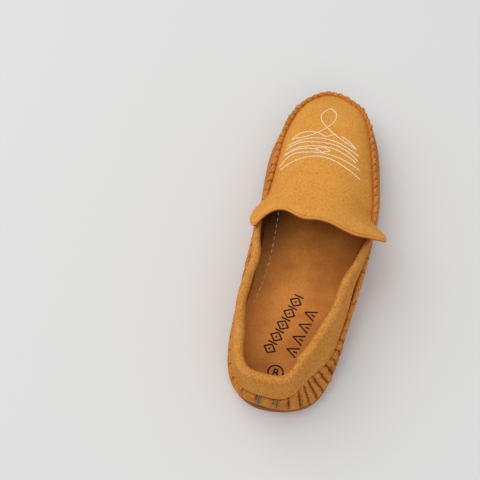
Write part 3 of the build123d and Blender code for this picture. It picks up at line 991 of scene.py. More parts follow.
@dataclass
class Wrap(Piece):
    """The suede pan under and round the foot, gathered to the seam."""

    columns: int = 1500
    wall_rows: int = 24
    ridge_rows: int = 10
    inner_rows: int = 9
    thickness: float = 1.6
    floor_z: float = 4.55
    rest_swell: float = 0.55
    wall_ripple: float = 0.5
    tooth_depth: float = 1.2
    tooth_reach: float = 2.0
    tooth_rise: float = 2.2
    # Painted shade over the wrap's inner face, which lies in the shoe's shade.
    inner_face_shade: float = 0.9
    inner_drop: float = 0.6
    inner_flare: float = 0.9
    suede: Suede = Suede(
        "brushed_wrap", srgb(208, 134, 60), srgb(226, 158, 80), srgb(168, 98, 36), srgb(80, 36, 8),
        srgb(212, 104, 44),
    )

    def wall(self, share: np.ndarray) -> tuple[np.ndarray, np.ndarray]:
        """The outer wall from the floor to the seam, with its folds.

        Args:
            share: The columns' shares of the outline.

        Returns:
            Points and the mask of painted shade in the fold valleys, rows by columns.
        """
        seam = self.last.seam_height(share)
        rise = np.linspace(0, 1, self.wall_rows)[:, None] ** 0.9
        height = self.floor_z + (seam - self.floor_z) * rise
        depth, reach, lean = self.gathers.read(share)
        fold = self.gathers.swell(self.gathers.phase(share) + lean * (1 - rise))
        strength = ease(rise, 0.9 - reach, 0.95) * depth
        inset = self.last.wall_inset(share, height) - (fold - self.rest_swell) * strength
        plan = self.last.inside(np.broadcast_to(share, height.shape), inset)
        soft = Ripple(3, 34).at(np.dstack([plan, height])) * self.wall_ripple * ease(rise, 0.05, 0.4)
        plan = self.last.inside(np.broadcast_to(share, height.shape), inset - soft)
        # Painted shade: dark in the valleys between the folds, where shade falls.
        painted_shade = np.clip(1.05 - fold * 1.35, 0, 1) * np.clip(strength, 0, 1.2) * 0.85
        return np.dstack([plan, height]), painted_shade

    def ridge(self, share: np.ndarray) -> tuple[np.ndarray, np.ndarray, np.ndarray]:
        """The rope-like edge that rolls over the seam.

        Args:
            share: The columns' shares of the outline.

        Returns:
            Points, the mask of painted shade between the rope's bumps, and the cut mask, rows by columns.
        """
        seam = self.last.seam_height(share)
        depth, _, lean = self.gathers.read(share)
        turn = np.linspace(0.05, 1.1, self.ridge_rows)[:, None]
        leans = np.abs(lean) > 0.15
        fold = self.gathers.swell(self.gathers.phase(share) - (0.35 + 0.3 * np.sign(lean)) * turn * leans)
        plump = np.clip(depth, 0.25, 1.3)
        radius = self.last.ridge_radius + (fold - 0.35) * 0.8 * plump
        middle = self.last.wall_inset(share, seam) + self.last.ridge_radius
        outward = (fold - self.rest_swell) * depth * (1 - turn) ** 2
        inset = middle - radius * np.cos(math.pi * turn) - outward
        tooth = np.clip(depth - self.tooth_depth, 0, 1.5) * np.clip(fold - 0.2, 0, 1)
        inset = inset + tooth * self.tooth_reach * ease(turn, 0.3, 0.9)
        height = seam + radius * np.sin(math.pi * turn) * (0.9 + 0.35 * plump)
        height = height + tooth * self.tooth_rise * ease(turn, 0.1, 0.8)
        plan = self.last.inside(np.broadcast_to(share, inset.shape), inset)
        # Painted shade in the valleys between the rope's bumps.
        painted_shade = np.clip(0.8 - fold * 1.7, 0, 1) * np.clip(plump + 0.2, 0, 1)
        cut = ease(turn, 0.4, 0.85) * np.clip(fold * 1.2, 0, 1) * 0.85
        return np.dstack([plan, height]), painted_shade, np.broadcast_to(cut, painted_shade.shape)

    def lining_side(self, share: np.ndarray) -> np.ndarray:
        """The inner face from the seam down to the floor, rows by columns."""
        seam = self.last.seam_height(share)
        drop = np.linspace(0.04, 1, self.inner_rows)[:, None]
        low = self.floor_z + self.thickness
        height = (seam - self.inner_drop) + (low - seam + self.inner_drop) * drop
        inset = self.last.wall_inset(share, height) + self.thickness + self.inner_flare * (1 - drop)
        return np.dstack([self.last.inside(np.broadcast_to(share, height.shape), inset), height])

    def build(self) -> bpy.types.Object:
        """Makes the wrap.

        Returns:
            The piece.
        """
        share = np.arange(self.columns) / self.columns
        wall, wall_shade = self.wall(share)
        ridge, ridge_shade, ridge_cut = self.ridge(share)
        inner = self.lining_side(share)
        points = np.concatenate([wall, ridge, inner])
        plain = np.zeros(inner.shape[:2])
        # Painted shade: the inner face is painted almost fully dark.
        painted_shade = np.concatenate([wall_shade, ridge_shade, plain + self.inner_face_shade])
        cut = np.concatenate([np.zeros(wall_shade.shape), ridge_cut, plain])
        builder = MeshBuilder(self.last)
        builder.tube(points, masks={"painted_shade": painted_shade, "cut": cut})
        return self.dress(builder.finish("gathered_wrap"), self.suede, "wrap_suede", "wrap")


@dataclass
class Vamp(Piece):
    """The golden suede over toe and instep, and the flared tongue it runs back into."""

    tail: Points = field(default_factory=lambda: [
        (-43.4, -1.5), (-42.8, -6.0), (-39.6, -10.6), (-35.8, -7.6), (-30, -3.6), (-23, -2.2),
        (-14, -5.2), (-5, -9.0), (5, -8.0), (14, -8.5), (24, -11.0), (34, -11.5), (44, -8.5),
        (51, -6.6), (56.0, -5.2),
    ])
    left_flare: Points = field(default_factory=lambda: [
        (-43.4, -1.5), (-42.6, 3.5), (-40.2, 11), (-36.9, 18.5),
    ])
    right_flare: Points = field(default_factory=lambda: [
        (56.0, -5.2), (55.5, -2), (50, 7), (44.2, 15), (41.6, 22),
    ])
    crest: Points = field(default_factory=lambda: [
        (-14, 72.5), (-7, 70.5), (10, 64.5), (30, 57.5), (50, 51.5), (70, 46.5), (90, 41.2),
        (110, 35.2), (126.5, 27.4),
    ])
    left_edge: Points = field(default_factory=lambda: [
        (-10, 43.5), (-2, 43.5), (8, 40), (18, 35.8), (26, 34.2),
    ])
    right_edge: Points = field(default_factory=lambda: [
        (-10, 50.5), (-4, 49.5), (6, 43), (14, 38), (22, 34.8), (28, 34.2),
    ])
    arch_powers: Points = field(default_factory=lambda: [
        (-12, 1.15), (10, 1.35), (35, 1.7), (60, 1.9), (130, 2.0),
    ])
    crest_x: Points = field(default_factory=lambda: [
        (-12, -6), (10, -3), (30, 0), (60, 3), (95, 1), (130, -4),
    ])
    columns: int = 150
    rows: int = 210
    thickness: float = 1.5
    seam_inset: float = 2.9
    toe_corner: float = 0.055
    edge_lift: float = 0.5
    stitch_dip: float = 0.7
    # Painted shade over the vamp's whole underside, which faces into the shoe.
    underside_shade: float = 0.85
    least_half_width: float = 12.0
    broad_ripple: float = 0.55
    fine_ripple: float = 0.12
    line_from_edge: float = 1.6
    line_width: float = 0.35
    line_depth: float = 0.5
    suede: Suede = Suede(
        "brushed_vamp", srgb(224, 155, 68), srgb(240, 178, 94), srgb(202, 126, 46), srgb(140, 76, 22),
        srgb(214, 124, 66), contrast=0.38,
    )

    def seam_line(self, start: float, end: float, count: int) -> np.ndarray:
        """Plan points along the seam from one share of the outline to another."""
        share = np.linspace(start, end, count)
        seam = self.last.seam_height(share)
        return self.last.inside(share, self.last.wall_inset(share, seam) + self.seam_inset)

    def edges(self) -> tuple[SmoothPath, SmoothPath, SmoothPath, SmoothPath]:
        """The four sides of the vamp seen from above: tail, toe, left and right."""
        right_join = self.last.share_at(self.right_flare[-1][1] + 3, True)
        left_join = self.last.share_at(self.left_flare[-1][1] + 5, False) - 1
        toe = self.seam_line(-self.toe_corner, self.toe_corner, 9)
        right = list(map(tuple, self.seam_line(right_join, self.toe_corner, 14)))
        left = list(map(tuple, self.seam_line(left_join, -self.toe_corner, 14)))
        return (
            SmoothPath(self.tail), SmoothPath(list(map(tuple, toe))),
            SmoothPath(self.left_flare + left), SmoothPath(self.right_flare + right),
        )

    def plan(self) -> tuple[np.ndarray, np.ndarray]:
        """The vamp's grid seen from above.

        Returns:
            Plan points and shares from tail to toe.
        """
        tail, toe, left, right = self.edges()
        across = 0.5 - 0.5 * np.cos(np.linspace(0, math.pi, self.columns))
        across = 0.55 * across + 0.45 * np.linspace(0, 1, self.columns)
        ahead = np.concatenate([np.linspace(0, 0.03, 14), np.linspace(0.03, 1, self.rows - 13)[1:]])
        a, b = np.meshgrid(across, ahead)
        blend = (
            (1 - b)[..., None] * tail.at(a) + b[..., None] * toe.at(a)
            + (1 - a)[..., None] * left.at(b) + a[..., None] * right.at(b)
        )
        corners = (
            ((1 - a) * (1 - b))[..., None] * tail.at(0.0) + (a * (1 - b))[..., None] * tail.at(1.0)
            + ((1 - a) * b)[..., None] * toe.at(0.0) + (a * b)[..., None] * toe.at(1.0)
        )
        return blend - corners, b

    def seam_distance(self, plan: np.ndarray) -> tuple[np.ndarray, np.ndarray]:
        """How far plan points are from the seam, and the share of the outline nearest to each."""
        share = np.linspace(-0.24, 0.24, 700)
        seam = self.last.seam_height(share)
        line = self.last.inside(share, self.last.wall_inset(share, seam) + self.seam_inset)
        flat = plan.reshape(-1, 2)
        gap = np.linalg.norm(flat[:, None] - line[None], axis=2)
        nearest = gap.argmin(axis=1)
        return gap.min(axis=1).reshape(plan.shape[:2]), share[nearest].reshape(plan.shape[:2])

    def top(self) -> tuple[np.ndarray, np.ndarray, np.ndarray]:
        """The vamp's upper face.

        Returns:
            Points, distance from the tail's edge, and the mask of painted shade along the seam, rows by
            columns.
        """
        plan, b = self.plan()
        x, y = plan[..., 0], plan[..., 1]
        gap, share = self.seam_distance(plan)
        crest_x = HeightProfile(self.crest_x).at(y)
        left_x, right_x = plan[:, :1, 0], plan[:, -1:, 0]
        sideways = np.where(
            x < crest_x, (crest_x - x) / (crest_x - left_x), (x - crest_x) / (right_x - crest_x),
        )
        half = np.maximum((right_x - left_x) / 2, self.least_half_width)
        inward = 1 - gap / half
        toe = ease(y, 55, 100)
        reach = np.clip(sideways * (1 - toe) + inward * toe, 0, 1)
        seam = self.last.seam.at(y) + self.edge_lift
        left_z = np.where(y < self.left_edge[-1][0], HeightProfile(self.left_edge).at(y), seam)
        right_z = np.where(y < self.right_edge[-1][0], HeightProfile(self.right_edge).at(y), seam)
        edge = np.where(x < crest_x, left_z, right_z)
        crest = np.maximum(HeightProfile(self.crest).at(y), edge)
        power = HeightProfile(self.arch_powers).at(y)
        z = edge + (crest - edge) * np.cos(math.pi / 2 * reach ** power)
        pinch = 1 - self.gathers.swell(self.gathers.phase(share))
        stitched = np.exp(-gap / 1.6) * ease(y, 22, 30)
        z -= np.clip(pinch, 0, 1) * stitched * self.stitch_dip
        points = np.dstack([plan, z])
        z = z + Ripple(5, 46).at(points) * self.broad_ripple * ease(reach, 1.0, 0.8)
        z = z + Ripple(6, 17).at(points) * self.fine_ripple
        _, _, left, _ = self.edges()
        from_tail = b * left.length
        # Painted shade along the seam, next to the wrap's rope.
        painted_shade = np.clip(np.exp(-gap / 1.3) * ease(y, 20, 27) * 0.7, 0, 1)
        return np.dstack([plan, z]), from_tail, painted_shade

    def build(self) -> bpy.types.Object:
        """Makes the vamp.

        Returns:
            The piece.
        """
        top, from_tail, painted_shade = self.top()
        across = np.gradient(top, axis=1)
        ahead = np.gradient(top, axis=0)
        out = np.cross(across, ahead)
        out /= np.maximum(np.linalg.norm(out, axis=2, keepdims=True), TINY)
        under = top - out * self.thickness
        # A thin darker line in from the tail's edge, added into the same mask.
        line = np.exp(-((from_tail - self.line_from_edge) / self.line_width) ** 2) * self.line_depth
        rim = ease(from_tail, 0.8, 0.1) * 0.6
        builder = MeshBuilder(self.last)
        builder.sheet(
            top, under, {"painted_shade": np.clip(painted_shade + line, 0, 1), "cut": rim},
            # Painted shade: the underside is painted almost fully dark.
            {"painted_shade": np.full(painted_shade.shape, self.underside_shade), "cut": rim},
        )
        return self.dress(builder.finish("vamp_and_tongue"), self.suede, "vamp_suede", "vamp")


@dataclass
class Quarter(Piece):
    """The suede round the heel with its padded roll, the roll's foam, the counter and the lining."""

    front_y: float = 26.0
    columns: int = 560
    roll_radii: Points = field(default_factory=lambda: [
        (-52, 3.6), (-30, 3.0), (-12, 2.4), (-4, 1.9), (6, 1.5), (26, 1.3),
    ])
    thickness: float = 1.3
    foam_share: float = 0.55
    seam_tuck: float = 3.0
    lining_gap: float = 2.95
    lining_thickness: float = 0.9
    lining_drop: float = 3.2
    lining_front_y: float = 22.0
    low_gap: float = 0.1
    seam_overlap: float = 0.8
    belly: float = 0.9
    roll_half_turns: float = 1.28
    roll_set: float = 0.9
    broad_ripple: float = 0.45
    fine_ripple: float = 0.14
    lining_ripple: float = 0.35
    counter_front_y: float = -52.0
    counter_drop: float = 6.0
    counter_gap: float = 1.75
    counter_thickness: float = 1.0
    suede: Suede = Suede(
        "brushed_quarter", srgb(210, 142, 66), srgb(224, 162, 84), srgb(180, 110, 44),
        srgb(104, 52, 12), srgb(205, 120, 58), contrast=0.5,
    )
    split: Suede = Suede(
        "split_lining", srgb(176, 96, 24), srgb(194, 116, 38), srgb(132, 66, 14), srgb(56, 22, 4),
        srgb(196, 130, 66), contrast=0.45,
    )
    board: Grained = Grained("counter_board", srgb(168, 142, 104), srgb(128, 102, 70), 0.85, 500.0, 0.6, 0.5)
    foam: Grained = Grained("soft_collar", srgb(226, 214, 184), srgb(198, 184, 150), 0.9, 700.0, 0.4, 0.5)

    def span(self, front_y: float) -> np.ndarray:
        """Shares of the outline from the outer front end, round the heel, to the inner one."""
        outer_front, inner_front = (self.last.share_at(front_y, outer) for outer in (True, False))
        return np.linspace(outer_front, inner_front, self.columns)

    def place(self, share: np.ndarray, inset: np.ndarray, height: np.ndarray) -> np.ndarray:
        """Points of the leaning band from insets and heights, rows by columns."""
        shift = self.last.band_shift.at(height)
        return np.dstack([self.last.inside(np.broadcast_to(share, height.shape), inset, shift), height])

    def tucked_inset(self, share: np.ndarray, height: np.ndarray) -> np.ndarray:
        """How far the band stands inside the outline, tucked in where it meets the seam.

        Args:
            share: The columns' shares of the outline.
            height: Heights, rows by columns.

        Returns:
            Insets, rows by columns.
        """
        seam = self.last.seam_height(share)
        top = self.last.top.at(self.last.ring.at(share)[:, 1])
        tuck = self.last.wall_inset(share, seam) + self.seam_tuck - self.last.collar_inset(share, seam)
        rise = (height - seam) / (top - seam)
        return self.last.collar_inset(share, height) + np.maximum(tuck, 0) * ease(rise, 0.34, 0.02)

    def middle(self, share: np.ndarray) -> tuple[np.ndarray, np.ndarray]:
        """Inset and height of the roll's middle."""
        height = self.last.top.at(self.last.ring.at(share)[:, 1])
        return self.last.collar_inset(share, height) + self.roll(share) * self.roll_set, height

    def roll(self, share: np.ndarray) -> np.ndarray:
        """Radius of the roll, which thins out towards the ears."""
        return HeightProfile(self.roll_radii).at(self.last.ring.at(share)[..., 1])

    def face(self, share: np.ndarray, depth: float) -> np.ndarray:
        """The band's outer face, over the roll and under it, moved in by a depth.

        Args:
            share: The columns' shares of the outline.
            depth: How far inside the outer face.

        Returns:
            Points, rows by columns.
        """
        seam = self.last.seam_height(share)
        inset0, top = self.middle(share)
        rise = np.linspace(0, 1, 16)[:-1, None]
        wall_z = seam - self.seam_overlap + (top - seam + self.seam_overlap) * rise
        full = self.tucked_inset(share, wall_z) - self.belly * np.sin(math.pi * rise) ** 1.5
        wall = self.place(share, full + depth, wall_z)
        turn = np.linspace(0, self.roll_half_turns, 22)[:, None] * math.pi
        radius = self.roll(share) - depth
        roll_inset = inset0 - radius * np.cos(turn)
        roll = self.place(share, roll_inset, top + radius * np.sin(turn))
        points = np.concatenate([wall, roll])
        lift = Ripple(21, 30).at(points) * self.broad_ripple + Ripple(22, 12).at(points) * self.fine_ripple
        inward = self.last.inward(share)
        points[..., :2] -= inward[None] * lift[..., None] * np.linspace(0.3, 1, len(points))[:, None, None]
        points[..., 2] += lift * np.linspace(0, 0.8, len(points))[:, None]
        return points

    def closed_strip(self, name: str, outer: np.ndarray, inner: np.ndarray,
                     painted_shade: np.ndarray) -> bpy.types.Object:
        """A strip with thickness from its two faces.

        Args:
            name: The piece's name.
            outer: Points of one face, rows by columns.
            inner: Points of the other face, rows by columns.
            painted_shade: The mask of painted shade on the outer face.

        Returns:
            The object.
        """
        loop = np.concatenate([outer, inner[::-1]])
        # Painted shade: the second face is darkened evenly, as it lies in shade.
        mask = np.concatenate([painted_shade, np.full(inner.shape[:2], 0.3)])
        builder = MeshBuilder(self.last)
        zeros = np.zeros(loop.shape[:2])
        first = builder.grid(loop, wrap_rows=True, masks={"painted_shade": mask, "cut": zeros})
        rows, columns = loop.shape[:2]
        builder.cap([first + r * columns for r in range(rows)], flip=True)
        builder.cap([first + r * columns + columns - 1 for r in range(rows)])
        return builder.finish(name)

    def build_band(self) -> bpy.types.Object:
        """Makes the quarter with its roll."""
        share = self.span(self.front_y)
        outer, inner = self.face(share, 0.0), self.face(share, self.thickness)
        painted_shade = np.zeros(outer.shape[:2])
        # Painted shade on the lowest rows, where the band tucks under the seam.
        painted_shade[:3] = np.array([0.75, 0.5, 0.2])[:, None]
        piece = self.closed_strip("quarter_and_roll", outer, inner, painted_shade)
        return self.dress(piece, self.suede, "quarter_suede", "quarter")

    def build_foam(self) -> bpy.types.Object:
        """Makes the foam core of the roll."""
        share = self.span(self.front_y - 1)
        inset, height = self.middle(share)
        path = self.place(share, inset[None], height[None])[0]
        builder = MeshBuilder(self.last)
        add_thread(builder, path[::3], self.foam_share * self.roll(share)[::3], 12)
        piece = self.dress(builder.finish("roll_foam"), self.foam, "foam", "collar_padding")
        return piece

    def build_counter(self) -> bpy.types.Object:
        """Makes the stiff cup between the quarter and the lining."""
        share = self.span(self.counter_front_y)
        _, top = self.middle(share)
        low = self.last.sock_top + self.low_gap
        height = low + (top - self.counter_drop - low) * np.linspace(0, 1, 14)[:, None]
        inset = self.tucked_inset(share, height) + self.counter_gap
        outer = self.place(share, inset, height)
        inner = self.place(share, inset + self.counter_thickness, height)
        piece = self.closed_strip("pressed_counter", inner, outer, np.zeros(inner.shape[:2]))
        return self.dress(piece, self.board, "fibre_board", "heel_counter")

    def build_lining(self) -> bpy.types.Object:
        """Makes the lining inside the quarter."""
        share = self.span(self.lining_front_y)
        _, top = self.middle(share)
        rise = np.linspace(0, 1, 18)[:, None]
        low = self.last.sock_top + self.low_gap
        height = low + (top - self.lining_drop - low) * rise
        inset = self.tucked_inset(share, height) + self.lining_gap
        outer = self.place(share, inset, height)
        ripple = Ripple(31, 26).at(outer) * self.lining_ripple
        inner = self.place(share, inset + self.lining_thickness + ripple, height)
        plan = self.last.ring.at(share)
        # Painted shade: darker on the lining's inner side towards the toe, and near its bottom, where the
        # foot cavity is in shade.
        deep = ease(plan[:, 0], 5, -20) * ease(plan[:, 1], -75, 5) * 0.75
        painted_shade = np.clip(ease(rise, 0.22, 0.0) * 0.7 + deep, 0, 0.9)
        piece = self.closed_strip("quarter_lining_leather", inner, outer, painted_shade)
        return self.dress(piece, self.split, "lining_leather", "quarter_lining")


@dataclass
class Footbed(Piece):
    """What the foot stands on: the cushion, the leather sock, its dashed stitching and its stamp."""

    sock_low: float = 10.85
    sock_inset: float = 3.7
    rise: float = 1.1
    rise_reach: float = 7.0
    lie_height: float = 0.12
    edge_points: int = 720
    cushion_low: float = 7.35
    cushion_top: float = 10.75
    cushion_inset: float = 4.5
    outer_stitches: Points = field(default_factory=lambda: [
        (-60, 7.0), (0, 6.5), (40, 9.0), (110, 13.5),
    ])
    inner_stitches: Points = field(default_factory=lambda: [
        (-60, 9.0), (-48, 11.4), (-30, 13.2), (60, 13.6), (110, 13.5),
    ])
    stitch_pitch: float = 5.2
    stitch_length: float = 3.3
    stitch_back_y: float = -56.0
    stitch_radius: float = 0.42
    stitch_lift: float = 0.3
    stitch_dip: float = 0.35
    stamp_width: float = 1.15
    ink_heights: tuple[float, float] = (0.02, 0.10)
    ink_step: float = 0.8
    leather: Grained = Grained(
        "polished_sock", srgb(236, 154, 68), srgb(182, 102, 36), 0.66, 950.0, 0.62, 0.25,
    )
    foam: Grained = Grained("soft_cushion", srgb(232, 222, 196), srgb(204, 190, 158), 0.9, 700.0, 0.4, 0.5)
    thread: Thread = Thread("sock_thread", srgb(236, 226, 206), srgb(196, 180, 150))
    ink: Grained = Grained("stamp_ink", srgb(34, 24, 18), srgb(58, 38, 24), 0.6, 900.0, 0.5, 0.1)

    def __post_init__(self) -> None:
        """Draws the uneven lie of the sock."""
        self.ripple = Ripple(41, 60)

    def height(self, plan: np.ndarray) -> np.ndarray:
        """Height of the sock's upper face over plan points: a shallow dish with an easy lie."""
        share = np.linspace(0, 1, self.edge_points, endpoint=False)
        edge = self.last.inside(share, np.full(self.edge_points, self.sock_inset))
        flat = plan.reshape(-1, 2)
        gap = np.linalg.norm(flat[:, None] - edge[None], axis=2).min(axis=1).reshape(plan.shape[:-1])
        lie = self.ripple.at(np.concatenate([plan, np.zeros((*plan.shape[:-1], 1))], axis=-1))
        return self.last.sock_top + self.rise * np.exp(-gap / self.rise_reach) + self.lie_height * lie

    def plate(self, inset: float, rows: int, columns: int) -> np.ndarray:
        """A grid over the foot's shape seen from above.

        Args:
            inset: How far inside the outline.
            rows: Rows from heel to toe.
            columns: Columns across.

        Returns:
            Plan points, rows by columns.
        """
        share = np.linspace(0, 1, SmoothPath.SAMPLES)
        edge = self.last.inside(share, np.full(SmoothPath.SAMPLES, inset))
        toe, heel = edge[:, 1].argmax(), edge[:, 1].argmin()
        right = edge[:heel + 1] if toe < 100 else np.concatenate([edge[toe:], edge[:heel + 1]])
        left = edge[heel:toe + 1] if toe > heel else edge[heel:]
        ahead = 0.5 - 0.5 * np.cos(np.linspace(0.03, math.pi - 0.03, rows))
        y = edge[heel, 1] + (edge[toe, 1] - edge[heel, 1]) * ahead
        right_x = np.interp(y, right[::-1, 1], right[::-1, 0])
        left_x = np.interp(y, left[:, 1], left[:, 0])
        across = 0.5 - 0.5 * np.cos(np.linspace(0, math.pi, columns))
        x = left_x[:, None] + (right_x - left_x)[:, None] * across
        return np.dstack([x, np.broadcast_to(y[:, None], x.shape)])

    def slab(self, name: str, plan: np.ndarray, low: float, top: np.ndarray) -> bpy.types.Object:
        """A plate with a flat underside and a shaped top, with painted shade deep inside the shoe.

        Args:
            name: The piece's name.
            plan: Its grid seen from above.
            low: Height of its underside.
            top: Heights of its upper face, rows by columns.

        Returns:
            The object.
        """
        builder = MeshBuilder(self.last)
        # Painted shade: darker on the inner side and towards the toe, under the vamp, where the cavity is in
        # shade.
        inner_side = ease(plan[..., 0], -2, -36) * ease(plan[..., 1], -50, 20) * 0.75
        shade = np.clip(inner_side + ease(plan[..., 1], -10, 60) * 0.6, 0, 0.9)
        under = np.dstack([plan, np.full(top.shape, low)])
        builder.sheet(np.dstack([plan, top]), under, {"shade": shade})
        return builder.finish(name)

    def build_cushion(self) -> bpy.types.Object:
        """Makes the foam cushion under the sock."""
        plan = self.plate(self.cushion_inset, 120, 30)
        piece = self.slab("foam_cushion", plan, self.cushion_low, np.full(plan.shape[:2], self.cushion_top))
        self.dress(piece, self.foam, "foam", "cushion")
        return piece

    def build_sock(self) -> bpy.types.Object:
        """Makes the leather sock."""
        plan = self.plate(self.sock_inset, 220, 70)
        piece = self.slab("leather_sock", plan, self.sock_low, self.height(plan))
        return self.dress(piece, self.leather, "sock_leather", "sock")

    def build_stitches(self) -> bpy.types.Object:
        """Makes the dashed white line round the sock, open at the heel."""
        builder = MeshBuilder(self.last)
        count = round(self.last.ring.length / self.stitch_pitch)
        half = self.stitch_length / 2 / self.last.ring.length
        for number in range(count):
            share = number / count
            if self.last.ring.at(share)[1] < self.stitch_back_y:
                continue
            run = np.linspace(share - half, share + half, 9)
            side = self.outer_stitches if share < 0.5 else self.inner_stitches
            plan = self.last.inside(run, HeightProfile(side).at(self.last.ring.at(run)[:, 1]))
            dip = np.linspace(-1, 1, 9) ** 4 * self.stitch_dip
            path = np.column_stack([plan, self.height(plan) + self.stitch_lift - dip])
            add_thread(builder, path, self.stitch_radius)
        return self.dress(builder.finish("sock_stitching"), self.thread, "white_thread", "sock_stitches")

    def add_stroke(self, builder: MeshBuilder, points: Points, closed: bool = False) -> None:
        """Adds one printed stroke of the stamp, a thin film of ink on the sock.

        Args:
            builder: Takes the stroke.
            points: Its corners seen from above.
            closed: Whether it ends where it starts.
        """
        bends = points + points[:1] if closed else points
        line = []
        for start, end in zip(bends, bends[1:]):
            steps = max(2, int(math.dist(start, end) / self.ink_step))
            line += [np.array(start) + (np.array(end) - np.array(start)) * t / steps for t in range(steps)]
        line.append(np.array(bends[-1], float))
        plan = np.array(line)
        ahead = np.gradient(plan, axis=0)
        ahead /= np.maximum(np.linalg.norm(ahead, axis=1, keepdims=True), TINY)
        side = np.stack([-ahead[:, 1], ahead[:, 0]], axis=1) * self.stamp_width / 2
        left, right = plan + side, plan - side
        low, high = self.ink_heights
        corners = ((left, low), (right, low), (right, high), (left, high))
        rings = np.stack([np.column_stack([row, self.height(row) + lift]) for row, lift in corners], axis=1)
        builder.tube(rings)

    def along_foot(self, start: tuple[float, float], heading: float, points: Points) -> Points:
        """Points of an ornament turned to run along the foot.

        Args:
            start: Where the ornament begins.
            heading: Its direction in degrees from +Y, clockwise positive.
            points: (along, across) distances.

        Returns:
            Plan points.
        """
        turn = math.radians(heading)
        sine, cosine = math.sin(turn), math.cos(turn)
        return [
            (start[0] + a * sine + c * cosine, start[1] + a * cosine + c * -sine) for a, c in points
        ]

    def build_stamp(self) -> bpy.types.Object:
        """Makes the stamped ornament: two rows of plain geometric figures and a ringed size mark.

        Returns:
            The piece.
        """
        builder = MeshBuilder(self.last)
        first_row, first_heading = (-13.0, -90.5), 17.0
        second_row, second_heading = (3.2, -89.5), 14.5
        for number in range(5):
            a = number * 10.2
            diamond = [(a, 0), (a + 3.6, 4.4), (a + 7.2, 0), (a + 3.6, -4.4)]
            self.add_stroke(builder, self.along_foot(first_row, first_heading, diamond), closed=True)
            for bar in ([(a + 2.8, 0), (a + 4.4, 0)], [(a + 8.7, -3.6), (a + 8.7, 3.6)]):
                self.add_stroke(builder, self.along_foot(first_row, first_heading, bar))
        for number in range(4):
            a = number * 10.4
            chevron = [(a, 4.2), (a + 3.8, -4.2), (a + 7.6, 4.2)]
            for line in (chevron, [(a + 3.8, 0.8), (a + 3.8, 4.0)]):
                self.add_stroke(builder, self.along_foot(second_row, second_heading, line))
        centre = (-4.5, -104.2)
        for radius, lift in ((5.4, 0.0), (1.3, 1.4), (1.6, -1.5)):
            turns = [i * math.pi / 14 for i in range(28)]
            x, y = centre[0], centre[1] + lift
            circle = [(x + radius * math.sin(t), y + radius * math.cos(t)) for t in turns]
            self.add_stroke(builder, circle, closed=True)
        piece = builder.finish("sock_stamp")
        piece.data.materials.append(self.ink.material(self.shop))
        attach(piece, BODY)
        return piece


class Seam(Enum):
    """The two stretches of the whipped seam."""

    TOE = ("toe_whip_stitches", "vamp_stitches")
    HEEL = ("heel_whip_stitches", "heel_stitches")


@dataclass
class Stitching(Piece):
    """The seam's waxed thread and the two bar tacks at the back of the heel."""

    thread_radius: float = 0.5
    join_y: float = 24.0
    whip_half_turns: tuple[float, float] = (-0.30, 1.12)
    toe_slant: float = 1.6
    heel_slant: float = 0.8
    tack_x: tuple[float, float] = (-12.0, 1.0)
    tack_gap: float = 1.45
    tack_radius: float = 0.62
    tack_half_height: float = 4.4
    tack_lift: float = 0.9
    tack_lean: float = 3.6
    tack_dig: float = 1.1
    waxed: Thread = Thread("waxed_seam_thread", srgb(128, 64, 20), srgb(74, 34, 8))
    grey: Thread = Thread("grey_tack_thread", srgb(150, 134, 98), srgb(92, 78, 50))

    def whip(self, share: float, slant: float) -> np.ndarray:
        """The path of one stitch over the edge of the wrap.

        Args:
            share: The stitch's share of the outline.
            slant: How far it runs along the seam, in millimetres.

        Returns:
            Points of the path.
        """
        turn = np.linspace(*self.whip_half_turns, 15)
        spread = share + slant * (turn - 0.4) / self.last.ring.length
        seam = self.last.seam_height(spread)
        middle = self.last.wall_inset(spread, seam) + self.last.ridge_radius
        radius = self.last.ridge_radius * 0.62 + self.thread_radius * 0.7
        inset = middle - radius * np.cos(math.pi * turn) * np.where(turn < 0, 1.12, 1.0)
        height = seam + radius * np.sin(math.pi * turn) * np.where(turn < 0, 2.2, 0.95)
        return np.column_stack([self.last.inside(spread, inset), height])

    def build_seam(self, seam: Seam) -> bpy.types.Object:
        """Makes the whip stitches of one stretch of the seam."""
        right = self.last.share_at(self.join_y, True)
        left = self.last.share_at(self.join_y, False)
        start, end = (left - 1, right) if seam is Seam.TOE else (right, left)
        builder = MeshBuilder(self.last)
        for share in self.gathers.stitch_shares(start, end):
            slant = self.toe_slant if seam is Seam.TOE else self.heel_slant
            add_thread(builder, self.whip(float(share), slant), self.thread_radius)
        name, node = seam.value
        return self.dress(builder.finish(name), self.waxed, "seam_thread", node)

    def build_tacks(self) -> bpy.types.Object:
        """Makes the two double-strand bar tacks at the back of the heel."""
        builder = MeshBuilder(self.last)
        ring = self.last.ring
        for x in self.tack_x:
            behind = np.where(ring.points[:, 1] < -110, np.abs(ring.points[:, 0] - x), np.inf)
            share = float(ring.shares[behind.argmin()])
            for side in (-self.tack_gap / 2, self.tack_gap / 2):
                spot = np.full(17, share + side / ring.length)
                seam = self.last.seam_height(spot)
                drop = np.linspace(-1, 1, 17)
                height = seam + self.tack_half_height * drop
                inset = np.where(
                    drop < 0, self.last.wall_inset(spot, height) - self.tack_lift,
                    self.last.wall_inset(spot, seam) - self.tack_lift + self.tack_lean * ease(drop, 0.0, 1.0),
                )
                inset += self.tack_dig * np.abs(drop) ** 6
                path = np.column_stack([self.last.inside(spot, inset), height])
                add_thread(builder, path, self.tack_radius, 10)
        return self.dress(builder.finish("heel_bar_tacks"), self.grey, "tack_thread", "back_tacks")


class Motif(Enum):
    """The figures of the toe's embroidery, by the frame's node."""

    LOOP = "embroidery_loop"
    WINGS = "embroidery_wings"
    BANDS = "embroidery_bands"


